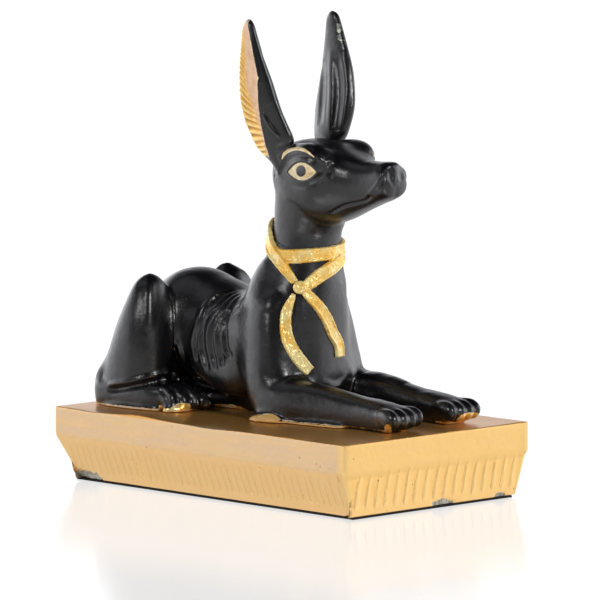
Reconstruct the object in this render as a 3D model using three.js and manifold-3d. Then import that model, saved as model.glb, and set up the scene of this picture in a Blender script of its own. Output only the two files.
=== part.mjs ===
// A souvenir figure of a recumbent jackal, cast in resin, on a low gilded plinth with fluted, tapering sides.
// Millimetres, +Z up. The origin is at the centre of the plinth's underside, and the jackal looks along +X.
import * as THREE from "three";
import { ParametricGeometry } from "three/addons/geometries/ParametricGeometry.js";
import { mergeVertices } from "three/addons/utils/BufferGeometryUtils.js";
import Module from "manifold-3d";

const wasm = await Module();
wasm.setup();

// Felt pad under the plinth.
const FELT_THICKNESS = 1.0;
const FELT_INSET = 0.6;

// Plinth: an upright band round the top, and below it sides that taper in to the foot.
const PLINTH_LENGTH = 160;
const PLINTH_WIDTH = 98.6;
const PLINTH_HEIGHT = 27.9;
const BAND_HEIGHT = 10;
const COVE_DROP = 3.2;
const COVE_INSET = 0.9;
const END_TAPER = 3.2;
const RIGHT_TAPER = 7.6;
const LEFT_TAPER = 4.6;
const TOP_ROUNDING = 0.7;

// Flutes cut in the tapering sides.
const FLUTE_WIDTH = 1.3;
const FLUTE_DEPTH = 0.5;
const END_FLUTE_PITCH = 5.2;
const SIDE_FLUTE_PITCH = 3.5;
const FLUTE_FOOT_MARGIN = 2.2;
const FLUTE_CORNER_MARGIN = 4;

// Jackal, from the soles to the ear tips. The forms below are drawn to their own proportions, and the whole
// figure is then brought to this height.
const JACKAL_HEIGHT = 152.8;
const SEAT_GAP = 0.3;
const JACKAL_TURN_DEG = 3.5;
const JACKAL_OFFSET_Y = 4.7;
const HEAD_TURN_DEG = -4;
const HEAD_PIVOT_X = 5;
const LEFT_EAR_SHIFT = [0.6, -1.2, 0.8];
const TOES = 4;
const RIBS = 4;
const RIB_PITCH = 4.2;

// Sash: its tie faces round to the right of the breast. A strip is [across, height, across, height, width],
// from end to end as seen from where the tie faces.
const SASH_THICKNESS = 1.1;
const SASH_WIDTH = 5.6;
const SASH_DROP = 0.33;
const SASH_CENTRE = [3.9, 0, 65.7];
const SASH_FACING_DEG = 48;
const SASH_STRIPS = [
  [-9.3, 68.4, -0.5, 50.5, 3.4],
  [15.1, 60.2, 2, 50.4, 4.6],
  [-2, 47.6, -6.1, 39.6, 3.6],
  [-6.3, 40.4, -2.8, 26.9, 4.4],
  [-3.2, 28, 2.9, 17.5, 4.6],
  [1.6, 48.6, 9, 38, 3.5],
  [8.6, 39, 15.1, 22.4, 4.4],
];
const KNOT_RADIUS = 3;
const KNOT_CENTRE = [12.5, -12.6, 50];

const GOLD = { color: 0xd9a441, roughness: 0.36, metalness: 0.85 };
const BLACK = { color: 0x0b0b0d, roughness: 0.3, metalness: 0.0 };
const FELT = { color: 0x17130f, roughness: 0.95, metalness: 0.0 };

// A closed geometry as a manifold solid, with its shared vertices merged and collapsed faces dropped.
function solid(geometry) {
  const bare = geometry.clone();
  for (const name of Object.keys(bare.attributes)) {
    if (name !== "position") bare.deleteAttribute(name);
  }
  const merged = mergeVertices(bare, 1e-4);
  const kept = [];
  const index = merged.index.array;
  for (let i = 0; i < index.length; i += 3) {
    const [a, b, c] = [index[i], index[i + 1], index[i + 2]];
    if (a !== b && b !== c && a !== c) kept.push(a, b, c);
  }
  const mesh = new wasm.Mesh({
    numProp: 3,
    vertProperties: merged.attributes.position.array,
    triVerts: new Uint32Array(kept),
  });
  return new wasm.Manifold(mesh);
}

// A manifold solid as a three.js geometry.
function geometryOf(manifold) {
  const mesh = manifold.getMesh();
  const positions = new Float32Array(mesh.numVert * 3);
  for (let i = 0; i < mesh.numVert; i++) {
    positions.set(mesh.vertProperties.subarray(i * mesh.numProp, i * mesh.numProp + 3), i * 3);
  }
  const geometry = new THREE.BufferGeometry();
  geometry.setAttribute("position", new THREE.BufferAttribute(positions, 3));
  geometry.setIndex(new THREE.BufferAttribute(mesh.triVerts, 1));
  geometry.computeVertexNormals();
  return geometry;
}

// The same geometry on the jackal's other side.
function mirrored(geometry) {
  const other = geometry.clone().scale(1, -1, 1);
  const index = other.index.array;
  for (let i = 0; i < index.length; i += 3) {
    [index[i + 1], index[i + 2]] = [index[i + 2], index[i + 1]];
  }
  return other;
}

// A point of a rounded outline: power 2 is an ellipse, and more is squarer.
function roundedPoint(angle, power) {
  const bend = (value) => Math.sign(value) * Math.abs(value) ** (2 / power);
  return [bend(Math.cos(angle)), bend(Math.sin(angle))];
}

// A form carried along a smooth spine. Each station is [x, y, z, half width, height above, depth below],
// where the width lies along `across`, and above is where the cross product of spine and `across` points.
function form(stations, options = {}) {
  const { sides = 14, rings = 12, across = [0, 1, 0], power = 2.2 } = options;
  const { startCap = 0.2, endCap = 0.2, grown = 0 } = options;
  const through = (points) => new THREE.CatmullRomCurve3(points, false, "centripetal");
  const spine = through(stations.map(([x, y, z]) => new THREE.Vector3(x, y, z)));
  const sizes = through(stations.map((station) => new THREE.Vector3(...station.slice(3))));
  const reference = new THREE.Vector3(...across).normalize();
  const cap = (share, length) => (share >= length ? 1 : Math.sqrt(1 - (1 - share / length) ** 2));
  const surface = (u, v, target) => {
    const t = (1 - Math.cos(Math.PI * v)) / 2;
    const scale = v <= 0 || v >= 1 ? 0 : cap(t, startCap) * cap(1 - t, endCap);
    const tangent = spine.getTangent(t);
    const above = tangent.clone().cross(reference).normalize();
    const side = above.clone().cross(tangent).normalize();
    const size = sizes.getPoint(t);
    const [c, s] = roundedPoint(2 * Math.PI * (u % 1), power);
    target.copy(spine.getPoint(t));
    target.addScaledVector(side, c * (size.x + grown) * scale);
    target.addScaledVector(above, s * ((s > 0 ? size.y : size.z) + grown) * scale);
  };
  return new ParametricGeometry(surface, sides, rings);
}

// A rounded groove or ridge along a path of points [x, y, z], the same width all along.
function cord(points, radius, { sides = 6, rings = 10, across = [0, 1, 0] } = {}) {
  const stations = points.map((p) => [...p, radius, radius, radius]);
  return form(stations, { sides, rings, across, power: 2, startCap: 0.12, endCap: 0.12 });
}

function joined(geometries) {
  return geometries.map(solid).reduce((whole, piece) => whole.add(piece));
}

function bothSides(geometries) {
  return geometries.flatMap((geometry) => [geometry, mirrored(geometry)]);
}

// Rump, loin, ribcage and breast, as one form along the back. Every form of the body can be grown all round,
// so that the sash lies on the coat.
function trunk(grown = 0) {
  return form(
    [
      [-68.5, 0, 14, 13, 7, 12],
      [-61.5, 0, 24.5, 18, 17.5, 21],
      [-51, 0, 28, 20, 24, 23],
      [-38, 0, 28, 18.5, 22, 18],
      [-24, 0, 27, 20.5, 19.5, 18],
      [-9, 0, 28, 22.5, 21.5, 19],
      [4, 0, 30, 20, 20, 22],
    ],
    { sides: 16, rings: 14, startCap: 0.1, endCap: 0.2, grown },
  );
}

// Breast and neck, from between the elbows up into the skull.
function neck(grown = 0) {
  return form(
    [
      [6, 0, 2, 22, 12, 12],
      [4, 0, 14, 24, 16, 15.5],
      [3, 0, 28, 23, 16, 15.6],
      [2.5, 0, 40, 21.5, 15.5, 16.2],
      [2.5, 0, 50, 18, 14.5, 15.8],
      [3, 0, 58, 14.8, 14, 14.6],
      [4, 0, 66, 13, 13.4, 13.4],
      [5, 0, 76, 12.2, 12.3, 13.2],
      [6, 0, 86, 12, 11.5, 13],
      [7, 0, 95, 11, 10, 11],
    ],
    { sides: 16, rings: 15, startCap: 0.06, endCap: 0.1, grown },
  );
}

// Skull and muzzle, the muzzle dipping a little to the nose.
function skull() {
  return form(
    [
      [-7, 0, 92.5, 8, 6.5, 7],
      [-1, 0, 92.5, 12.8, 11.4, 11.5],
      [8, 0, 92.5, 15.6, 12.4, 16],
      [19, 0, 92, 15.8, 11, 18],
      [28, 0, 91.5, 12.6, 9.6, 15.5],
      [37, 0, 91, 9.4, 9, 11],
      [45, 0, 91, 7.8, 8.6, 7.4],
      [50, 0, 91.5, 7, 7.6, 5.6],
      [52.5, 0, 91.8, 5.4, 5.6, 4.2],
    ],
    { sides: 16, rings: 16, power: 2.5, startCap: 0.08, endCap: 0.06 },
  );
}

// The right ear: a leaf with a hollow in its outer face.
function ear(shift = [0, 0, 0]) {
  const leaf = form(
    [
      [4, -12.5, 95, 5, 3, 4],
      [2, -15, 104, 9.4, 3.6, 5.2],
      [-1, -18, 116, 10.4, 3.6, 5.2],
      [-3, -19.8, 127, 9.2, 3, 4.6],
      [-4.4, -21.2, 139, 6, 2, 3.2],
      [-5.6, -22, 152, 1.5, 1, 1.4],
    ],
    { sides: 12, rings: 11, across: [1, 0, 0], power: 1.7, startCap: 0.05, endCap: 0.05 },
  );
  const hollow = form(
    [
      [-1.2, -18.8, 101, 4.4, 1.8, 1.8],
      [-4.6, -21.4, 114, 6.8, 2.6, 2.6],
      [-6.4, -22.8, 126, 6.2, 2.4, 2.4],
      [-6.6, -23.4, 138, 3.9, 1.8, 1.8],
      [-6, -23.2, 148, 1.2, 1, 1],
    ],
    { sides: 8, rings: 6, across: [0.954, -0.298, 0], startCap: 0.1, endCap: 0.1 },
  );
  return geometryOf(solid(leaf).subtract(solid(hollow))).translate(...shift);
}

// The bony rim over and round the right eye.
function orbit() {
  return form(
    [
      [5, -9.5, 97.5, 4, 5, 5],
      [13, -10.8, 98, 6.2, 6, 7],
      [21.5, -10.8, 98, 6.2, 5.8, 7],
      [31, -6, 95, 2.4, 2.8, 3.4],
    ],
    { sides: 10, rings: 8, power: 2.4 },
  );
}

// The right eye, almond shaped, under its brow.
function eye() {
  return form(
    [
      [11, -15.4, 94.2, 0.8, 1, 1],
      [15.5, -16.4, 95.2, 1.9, 3.4, 3],
      [20, -16, 95, 1.9, 3.2, 3],
      [24.5, -13.8, 93.6, 0.9, 0.9, 0.9],
    ],
    { sides: 8, rings: 6 },
  );
}

function brow() {
  return cord(
    [
      [6, -15.2, 99.2],
      [11.5, -16.4, 102.4],
      [17.5, -16.4, 102.8],
      [23.5, -14.8, 100.2],
    ],
    1.1,
    { rings: 6 },
  );
}

// The line of the right side of the mouth.
function mouthLine() {
  return cord(
    [
      [26.5, -10.2, 80],
      [33.7, -9.6, 83.8],
      [42, -7.8, 85.9],
      [47.5, -7.1, 89],
    ],
    0.9,
    { rings: 6 },
  );
}

// The right shoulder and upper arm, down to the elbow.
function shoulder(grown = 0) {
  return form(
    [
      [-3, -12, 52, 5.5, 6, 6],
      [-1.5, -15.5, 41, 8, 10.5, 9.5],
      [0, -17.5, 27, 8.6, 13, 11],
      [2, -19.5, 13, 8.4, 12, 11],
      [4, -20.5, 2, 7.5, 9.5, 9],
    ],
    { sides: 14, rings: 9, grown },
  );
}

function foreleg() {
  return form(
    [
      [-3, -20.5, 6, 7.5, 7, 6],
      [12, -19.5, 7.5, 8.5, 8.5, 8],
      [30, -17.5, 6.5, 7.2, 8, 7],
      [48, -16.5, 5.5, 6.2, 6.3, 6],
      [60, -16.5, 5, 7, 5.4, 5],
      [68.5, -16.5, 4, 7.4, 4.2, 4],
    ],
    { sides: 12, rings: 11, startCap: 0.1, endCap: 0.08 },
  );
}

// One paw's toes, spread side by side across the paw.
function toes(count, toeAt) {
  return Array.from({ length: count }, (_, i) => {
    const share = i / (count - 1) - 0.5;
    return form(toeAt(share), { sides: 6, rings: 4, endCap: 0.3 });
  });
}

function forepaw() {
  return toes(TOES, (share) => [
    [59, -16.5 + share * 9, 5.5, 2.2, 3, 4],
    [67, -16.5 + share * 12.5, 5.6, 2.5, 3.4, 4.5],
    [72.5 - Math.abs(share) * 3.5, -16.5 + share * 12.5, 2.8, 2.3, 2.8, 2.8],
  ]);
}

// The right thigh and shin, folded together with the knee up.
function haunch() {
  return form(
    [
      [-57, -22, 51.5, 5, 5, 5],
      [-57, -23, 43, 9, 8.6, 8],
      [-58, -24.5, 30, 11, 11.6, 11.4],
      [-59.5, -25.5, 16, 11, 13.6, 14.5],
      [-61.5, -26, 4, 10.5, 14.5, 15.5],
    ],
    { sides: 14, rings: 10, startCap: 0.16, endCap: 0.1 },
  );
}

function hindFoot() {
  return form(
    [
      [-76.5, -28, 4.5, 6.5, 5.5, 5],
      [-64, -28.5, 5, 9, 5.6, 5],
      [-49, -28, 5.5, 8, 6.2, 5.5],
      [-38, -27, 5, 8, 5.8, 5],
    ],
    { sides: 10, rings: 7, startCap: 0.12, endCap: 0.15 },
  );
}

function hindPaw() {
  return toes(TOES, (share) => [
    [-47, -27 + share * 9, 7, 2.4, 4, 5],
    [-37 + share * 4, -27 + share * 12.5, 6, 2.6, 4, 5],
    [-31 + share * 9, -27 + share * 13, 2.6, 2.3, 2.6, 2.6],
  ]);
}

// Raised ribs on the right flank, each curving down and back.
function ribs() {
  return Array.from({ length: RIBS }, (_, i) => {
    const x = -13 - i * RIB_PITCH;
    return cord(
      [
        [x + 1, -15, 43],
        [x - 1, -19.5, 35],
        [x - 2, -21, 26],
        [x, -20, 16],
      ],
      1.5,
      { sides: 5, rings: 5, across: [1, 0, 0] },
    );
  });
}

// The fill that carries the belly down to the plinth, set in from the flanks.
function bellyFill() {
  return form(
    [
      [-68, 0, 6, 18, 8, 8],
      [-30, 0, 6, 14, 8, 8],
      [12, 0, 6, 15, 10, 8],
    ],
    { sides: 10, rings: 5, power: 3 },
  );
}

// The tail, curled round the right side of the rump.
function tail() {
  return form(
    [
      [-67, 0, 18, 4.5, 4.5, 4.5],
      [-72, -1, 9, 3.6, 3.6, 3.6],
      [-74, -8, 4.5, 3, 3, 3],
      [-73.5, -17, 3, 1.8, 1.8, 2.2],
    ],
    { sides: 7, rings: 6, across: [0, 0, 1] },
  );
}

// The sash: a band round the neck that drops to the front, two straps from it to a knot, and two loose tails.
function sash() {
  const arms = bothSides([shoulder(SASH_THICKNESS)]);
  const coat = joined([trunk(SASH_THICKNESS), neck(SASH_THICKNESS), ...arms]);
  const ring = new THREE.CylinderGeometry(60, 60, SASH_WIDTH, 24);
  ring.rotateX(Math.PI / 2);
  ring.rotateY(Math.atan(SASH_DROP));
  ring.translate(...SASH_CENTRE);
  const band = solid(neck(SASH_THICKNESS)).intersect(solid(ring));
  const strips = SASH_STRIPS.map(([u0, z0, u1, z1, wide]) => {
    const length = Math.hypot(u1 - u0, z1 - z0);
    const strip = new THREE.BoxGeometry(length, 40, wide).translate(0, -20, 0);
    strip.rotateY(-Math.atan2(z1 - z0, u1 - u0));
    strip.translate((u0 + u1) / 2, 0, (z0 + z1) / 2);
    strip.rotateZ(THREE.MathUtils.degToRad(90 - SASH_FACING_DEG));
    return solid(strip);
  });
  const straps = coat.intersect(strips.reduce((whole, strip) => whole.add(strip)));
  const knot = new THREE.SphereGeometry(KNOT_RADIUS, 10, 6);
  knot.translate(...KNOT_CENTRE);
  return band.add(straps).add(solid(knot));
}

// The head with its ears, turned a little on the neck.
function head() {
  const sides = bothSides([orbit(), eye(), brow()]);
  const ears = [ear(), mirrored(ear(LEFT_EAR_SHIFT))];
  const whole = joined([skull(), ...sides, ...ears]).subtract(joined(bothSides([mouthLine()])));
  const turned = geometryOf(whole).translate(-HEAD_PIVOT_X, 0, 0);
  return turned.rotateZ(THREE.MathUtils.degToRad(HEAD_TURN_DEG)).translate(HEAD_PIVOT_X, 0, 0);
}

function jackalGeometry() {
  const limbs = [shoulder(), foreleg(), haunch(), hindFoot(), ...forepaw(), ...hindPaw(), ...ribs()];
  const body = joined([trunk(), neck(), head(), bellyFill(), tail(), ...bothSides(limbs)]).add(sash());
  const below = new THREE.BoxGeometry(300, 300, 60).translate(0, 0, -30);
  return geometryOf(body.subtract(solid(below)));
}

// How far the plinth's end, right side and left side stand out from its centre, at a height above its foot.
function plinthReach(height) {
  const fall = PLINTH_HEIGHT - BAND_HEIGHT - height;
  const slope = PLINTH_HEIGHT - BAND_HEIGHT - COVE_DROP;
  const coveShare = THREE.MathUtils.clamp(fall / COVE_DROP, 0, 1);
  const slopeShare = THREE.MathUtils.clamp((fall - COVE_DROP) / slope, 0, 1);
  const inset = (taper) => COVE_INSET * coveShare + (taper - COVE_INSET) * slopeShare;
  return [
    PLINTH_LENGTH / 2 - inset(END_TAPER),
    PLINTH_WIDTH / 2 - inset(RIGHT_TAPER),
    PLINTH_WIDTH / 2 - inset(LEFT_TAPER),
  ];
}

// The plinth before it is fluted, built up in rings from foot to top.
function plinthBlock() {
  const levels = [
    [0, 0],
    [PLINTH_HEIGHT - BAND_HEIGHT - COVE_DROP, 0],
    [PLINTH_HEIGHT - BAND_HEIGHT, 0],
    [PLINTH_HEIGHT - TOP_ROUNDING, 0],
    [PLINTH_HEIGHT, TOP_ROUNDING],
  ];
  const positions = [];
  for (const [z, round] of levels) {
    const [end, right, left] = plinthReach(z).map((reach) => reach - round);
    positions.push([-end, -right, z], [end, -right, z], [end, left, z], [-end, left, z]);
  }
  const index = [0, 2, 1, 0, 3, 2];
  const top = positions.length - 4;
  index.push(top, top + 1, top + 2, top, top + 2, top + 3);
  for (let level = 0; level < levels.length - 1; level++) {
    for (let corner = 0; corner < 4; corner++) {
      const a = level * 4 + corner;
      const b = level * 4 + ((corner + 1) % 4);
      index.push(a, b, b + 4, a, b + 4, a + 4);
    }
  }
  const block = new THREE.BufferGeometry();
  block.setAttribute("position", new THREE.Float32BufferAttribute(positions.flat(), 3));
  block.setIndex(index);
  return block;
}

// A pointed flute along the slope of one side. It stands in the plane x = 0 with the side's face toward -y.
function flute(outwardAt) {
  const low = FLUTE_FOOT_MARGIN;
  const high = PLINTH_HEIGHT - BAND_HEIGHT - COVE_DROP / 2;
  const shape = new THREE.Shape([
    new THREE.Vector2(-FLUTE_WIDTH / 2, -1),
    new THREE.Vector2(FLUTE_WIDTH / 2, -1),
    new THREE.Vector2(0, FLUTE_DEPTH),
  ]);
  const bottom = new THREE.Vector3(0, -outwardAt(low), low);
  const top = new THREE.Vector3(0, -outwardAt(high), high);
  const cut = new THREE.ExtrudeGeometry(shape, { depth: bottom.distanceTo(top), bevelEnabled: false });
  cut.rotateX(Math.atan2(bottom.y - top.y, high - low));
  return cut.translate(bottom.x, bottom.y, bottom.z);
}

// The flutes of one side, evenly spread along it.
function fluteRow(length, pitch, turn, outwardAt) {
  const count = Math.floor((length - 2 * FLUTE_CORNER_MARGIN) / pitch) + 1;
  return Array.from({ length: count }, (_, i) => {
    const along = (i - (count - 1) / 2) * pitch;
    return flute(outwardAt).translate(along, 0, 0).rotateZ(turn);
  });
}

function plinthGeometry() {
  const foot = plinthReach(0);
  const cuts = [
    ...fluteRow(2 * foot[0], SIDE_FLUTE_PITCH, 0, (z) => plinthReach(z)[1]),
    ...fluteRow(2 * foot[0], SIDE_FLUTE_PITCH, Math.PI, (z) => plinthReach(z)[2]),
    ...fluteRow(foot[1] + foot[2], END_FLUTE_PITCH, Math.PI / 2, (z) => plinthReach(z)[0]),
    ...fluteRow(foot[1] + foot[2], END_FLUTE_PITCH, -Math.PI / 2, (z) => plinthReach(z)[0]),
  ];
  return geometryOf(solid(plinthBlock()).subtract(joined(cuts)));
}

function feltGeometry() {
  const [end, right, left] = plinthReach(0).map((reach) => reach - FELT_INSET);
  const pad = new THREE.BoxGeometry(2 * end, right + left, FELT_THICKNESS - SEAT_GAP);
  return pad.translate(0, (left - right) / 2, (FELT_THICKNESS - SEAT_GAP) / 2);
}

const drawn = jackalGeometry();
drawn.computeBoundingBox();
const jackal = new THREE.Mesh(drawn, new THREE.MeshStandardMaterial(BLACK));
jackal.name = "jackal";
const figure = new THREE.Group();
figure.scale.setScalar(JACKAL_HEIGHT / drawn.boundingBox.max.z);
figure.rotation.z = THREE.MathUtils.degToRad(JACKAL_TURN_DEG);
figure.position.set(0, JACKAL_OFFSET_Y, FELT_THICKNESS + PLINTH_HEIGHT + SEAT_GAP);
figure.add(jackal);

const plinth = new THREE.Mesh(plinthGeometry(), new THREE.MeshStandardMaterial(GOLD));
plinth.name = "plinth";
plinth.position.z = FELT_THICKNESS;

const felt = new THREE.Mesh(feltGeometry(), new THREE.MeshStandardMaterial(FELT));
felt.name = "felt_pad";

const part = new THREE.Group();
part.add(figure, plinth, felt);

export default part;
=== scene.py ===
"""The finish of a souvenir figure: a black jackal lying on a gilt plinth, with a gilt sash round its neck."""
import math

import bmesh
import bpy
import numpy as np
from mathutils import Matrix, Vector, noise
from mathutils.bvhtree import BVHTree


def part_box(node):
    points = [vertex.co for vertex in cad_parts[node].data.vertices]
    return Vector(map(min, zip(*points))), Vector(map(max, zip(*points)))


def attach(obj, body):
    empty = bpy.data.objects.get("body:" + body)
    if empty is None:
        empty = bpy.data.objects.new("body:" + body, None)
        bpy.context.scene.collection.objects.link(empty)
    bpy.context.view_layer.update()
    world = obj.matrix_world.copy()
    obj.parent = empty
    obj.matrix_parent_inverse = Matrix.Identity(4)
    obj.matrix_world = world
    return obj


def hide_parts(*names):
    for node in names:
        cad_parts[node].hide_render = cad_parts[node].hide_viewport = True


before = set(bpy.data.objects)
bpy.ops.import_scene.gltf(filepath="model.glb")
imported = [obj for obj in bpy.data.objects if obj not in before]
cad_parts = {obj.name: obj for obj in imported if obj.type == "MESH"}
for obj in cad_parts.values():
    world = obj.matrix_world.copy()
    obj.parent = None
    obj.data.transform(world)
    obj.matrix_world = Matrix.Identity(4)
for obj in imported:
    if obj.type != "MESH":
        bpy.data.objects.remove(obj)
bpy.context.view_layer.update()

# The room. The figure stands on a glowing white table before a white backdrop. Two small lights, one on
# each side of the camera, make the glints. Soft glows high and low on the left and low on the right light
# the edges, and the rest of the room is dark.
CAMERA_AZIMUTH = 45.69
CAMERA_ELEVATION = 6.5
CAMERA_DISTANCE = 2.5
CAMERA_TARGET = Vector((0.00281, 0.00288, 0.07286))
CAMERA_LENS = 391.4
LIGHT_TARGET = Vector((0, 0, 0.09))


def towards(azimuth, elevation):
    """The direction of a thing seen at an azimuth, where 0 is -Y and 90 degrees is +X, and an elevation."""
    azimuth, elevation = math.radians(azimuth), math.radians(elevation)
    level = math.cos(elevation)
    return Vector((math.sin(azimuth) * level, -math.cos(azimuth) * level, math.sin(elevation)))


def add_object(name, data):
    made = bpy.data.objects.new(name, data)
    bpy.context.scene.collection.objects.link(made)
    return made


def aim(thing, target, azimuth, elevation, distance):
    """Puts a camera or a light at a distance from its target, on that side of it."""
    out = towards(azimuth, elevation)
    thing.location = target + out * distance
    thing.rotation_euler = (-out).to_track_quat("-Z", "Y").to_euler()


camera = add_object("camera", bpy.data.cameras.new("camera"))
camera.data.lens = CAMERA_LENS
camera.data.sensor_width = 36
camera.data.clip_end = 50
aim(camera, CAMERA_TARGET, CAMERA_AZIMUTH, CAMERA_ELEVATION, CAMERA_DISTANCE)
picture_right, picture_up, picture_back = camera.rotation_euler.to_matrix().transposed()
PICTURE_MIDDLE = 300
PIXEL = camera.data.sensor_width / CAMERA_LENS / (2 * PICTURE_MIDDLE)
bpy.context.scene.camera = camera
bpy.context.scene.view_settings.view_transform = "Standard"


def area_light(name, azimuth, elevation, distance, size, power):
    data = bpy.data.lights.new(name, "AREA")
    data.shape = "RECTANGLE"
    data.size, data.size_y = size
    data.energy = power
    aim(add_object(name, data), LIGHT_TARGET, azimuth, elevation, distance)


area_light("front light", 2, 28, 1.3, (0.16, 0.16), 2.7)
area_light("window", 80, 26, 1.2, (0.1, 0.2), 5.2)


class Wire:
    """A socket's value in a shader. Arithmetic on it adds Math nodes."""

    def __init__(self, shader, socket):
        self.shader = shader
        self.socket = socket

    def maths(self, operation, first, second):
        return self.shader.node("ShaderNodeMath", {"operation": operation}, {0: first, 1: second})

    def __add__(self, other):
        return self.maths("ADD", self, other)

    def __sub__(self, other):
        return self.maths("SUBTRACT", self, other)

    def __rsub__(self, other):
        return self.maths("SUBTRACT", other, self)

    def __mul__(self, other):
        return self.maths("MULTIPLY", self, other)

    __radd__ = __add__
    __rmul__ = __mul__

    def larger(self, other):
        return self.maths("MAXIMUM", self, other)

    def rise(self, low, high):
        """0 below `low`, 1 above `high`, and a smooth rise between, or a fall where low is the larger."""
        settings = {"interpolation_type": "SMOOTHSTEP", "clamp": True}
        sockets = {"Value": self, "From Min": low, "From Max": high, "To Min": 0.0, "To Max": 1.0}
        return self.shader.node("ShaderNodeMapRange", settings, sockets)


class Shader:
    """A material's nodes, made one by one."""

    def __init__(self, tree):
        self.tree = tree
        tree.nodes.clear()

    def node(self, kind, settings=None, sockets=None, output=0):
        made = self.tree.nodes.new(kind)
        for key, value in (settings or {}).items():
            setattr(made, key, value)
        for key, value in (sockets or {}).items():
            socket = made.inputs[key]
            if isinstance(value, Wire):
                self.tree.links.new(value.socket, socket)
            elif socket.type == "RGBA" and len(value) == 3:
                socket.default_value = (*value, 1)
            else:
                socket.default_value = value
        return Wire(self, made.outputs[output])

    def mix(self, share, first, second):
        """A colour, `first` where share is 0 and `second` where it is 1."""
        return self.node("ShaderNodeMix", {"data_type": "RGBA"}, {0: share, 6: first, 7: second}, output=2)

    def coats(self, tone, *layers):
        """A colour under coats of (share, colour), the last on top."""
        for share, colour in layers:
            tone = self.mix(share, tone, colour)
        return tone

    def place(self, stretch=(1, 1, 1)):
        """The surface's own place on the object, in metres, stretched for streaks."""
        coordinates = self.node("ShaderNodeTexCoord", output=3)
        return self.node("ShaderNodeMapping", None, {"Vector": coordinates, "Scale": stretch})

    def cloud(self, scale, detail, at=None):
        """Noise between about 0.3 and 0.7, `scale` times a metre."""
        sockets = {"Vector": at or self.place(), "Scale": scale, "Detail": detail}
        return self.node("ShaderNodeTexNoise", None, sockets)

    def specks(self, scale, size):
        """1 in small round specks, 0 between them."""
        sockets = {"Vector": self.place(), "Scale": scale}
        return self.node("ShaderNodeTexVoronoi", {"feature": "F1"}, sockets).rise(size, size * 0.6)

    def held(self, name):
        """A value kept on the mesh's points."""
        return self.node("ShaderNodeAttribute", {"attribute_name": name}, output=2)

    def relief(self, *layers):
        """A normal from layers of (height, depth in metres)."""
        sockets = {"Strength": 1.0}
        for height, depth in layers:
            normal = self.node("ShaderNodeBump", None, {**sockets, "Height": height, "Distance": depth})
            sockets["Normal"] = normal
        return normal

    def surface(self, **sockets):
        """The surface's one shader. Underscores in a socket's name stand for spaces."""
        named = {key.replace("_", " "): value for key, value in sockets.items()}
        return self.node("ShaderNodeBsdfPrincipled", None, named)

    def finish(self, shader, kind="ShaderNodeOutputMaterial"):
        self.tree.links.new(shader.socket, self.tree.nodes.new(kind).inputs["Surface"])


def new_material(name):
    material = bpy.data.materials.new(name)
    material.use_nodes = True
    return material, Shader(material.node_tree)


BACKDROP_WHITE = 1.02
ROOM_DARK = 0.012
ROOM_CAST = (0.985, 0.99, 1.03)
world = bpy.data.worlds.new("white room")
world.use_nodes = True
bpy.context.scene.world = world
room = Shader(world.node_tree)
direction = room.node("ShaderNodeTexCoord", output=0)


def glow_from(azimuth, elevation, inner, outer):
    """1 within `inner` degrees of a direction of the room, falling to 0 at `outer` degrees."""
    sockets = {0: direction, 1: towards(azimuth, elevation)}
    facing = room.node("ShaderNodeVectorMath", {"operation": "DOT_PRODUCT"}, sockets, output=1)
    return facing.rise(math.cos(math.radians(outer)), math.cos(math.radians(inner)))


# The height is the sine of the elevation.
height = room.node("ShaderNodeSeparateXYZ", None, {0: direction}, output=2)
backdrop = glow_from(CAMERA_AZIMUTH + 180, 5, 45, 88) * height.rise(0.68, 0.14)
softbox = glow_from(-58, 60, 6, 26)
low_left = glow_from(-74, 4, 18, 66) * height.rise(0.55, 0.22)
side_light = glow_from(152, 8, 10, 36)
glow = backdrop * 1.15 + softbox * 0.4 + low_left * 1.9 + side_light * 2.2 + ROOM_DARK
seen = room.node("ShaderNodeLightPath", output=0)
strength = seen * BACKDROP_WHITE + (1 - seen) * glow
lit = room.node("ShaderNodeBackground", None, {"Color": ROOM_CAST, "Strength": strength})
room.finish(lit, "ShaderNodeOutputWorld")


def mesh_from(name, bm):
    mesh = bpy.data.meshes.new(name)
    bm.to_mesh(mesh)
    bm.free()
    return mesh


FLOOR_REACH = 20
TABLE_GLOW = 0.98
TABLE_GLOSS = 0.27
plane = bmesh.new()
bmesh.ops.create_grid(plane, x_segments=1, y_segments=1, size=FLOOR_REACH)
floor = add_object("floor", mesh_from("floor", plane))
material, paint = new_material("white table")
lit = paint.surface(
    Base_Color=(0.02, 0.02, 0.02), Roughness=0.9, Emission_Color=(1, 1, 1), Emission_Strength=TABLE_GLOW,
)
gloss = paint.node("ShaderNodeBsdfGlossy", None, {"Color": (1, 1, 1), "Roughness": 0.16})
paint.finish(paint.node("ShaderNodeMixShader", None, {0: TABLE_GLOSS, 1: lit, 2: gloss}))
floor.data.materials.append(material)

# The jackal is one casting in resin, painted satin black all over. Its body is modelled in the figure's own
# millimetres, x forward, y to its left and z up from the plinth, and then set on it, turned a little.
FIGURE_TURN = math.radians(3.5)
FIGURE_SHIFT_Y = 4.7
MM = 0.001
jackal_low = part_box("jackal")[0]
on_plinth = Matrix.Translation((0, FIGURE_SHIFT_Y * MM, jackal_low.z))
to_part = on_plinth @ Matrix.Rotation(FIGURE_TURN, 4, "Z") @ Matrix.Scale(MM, 4)


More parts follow.
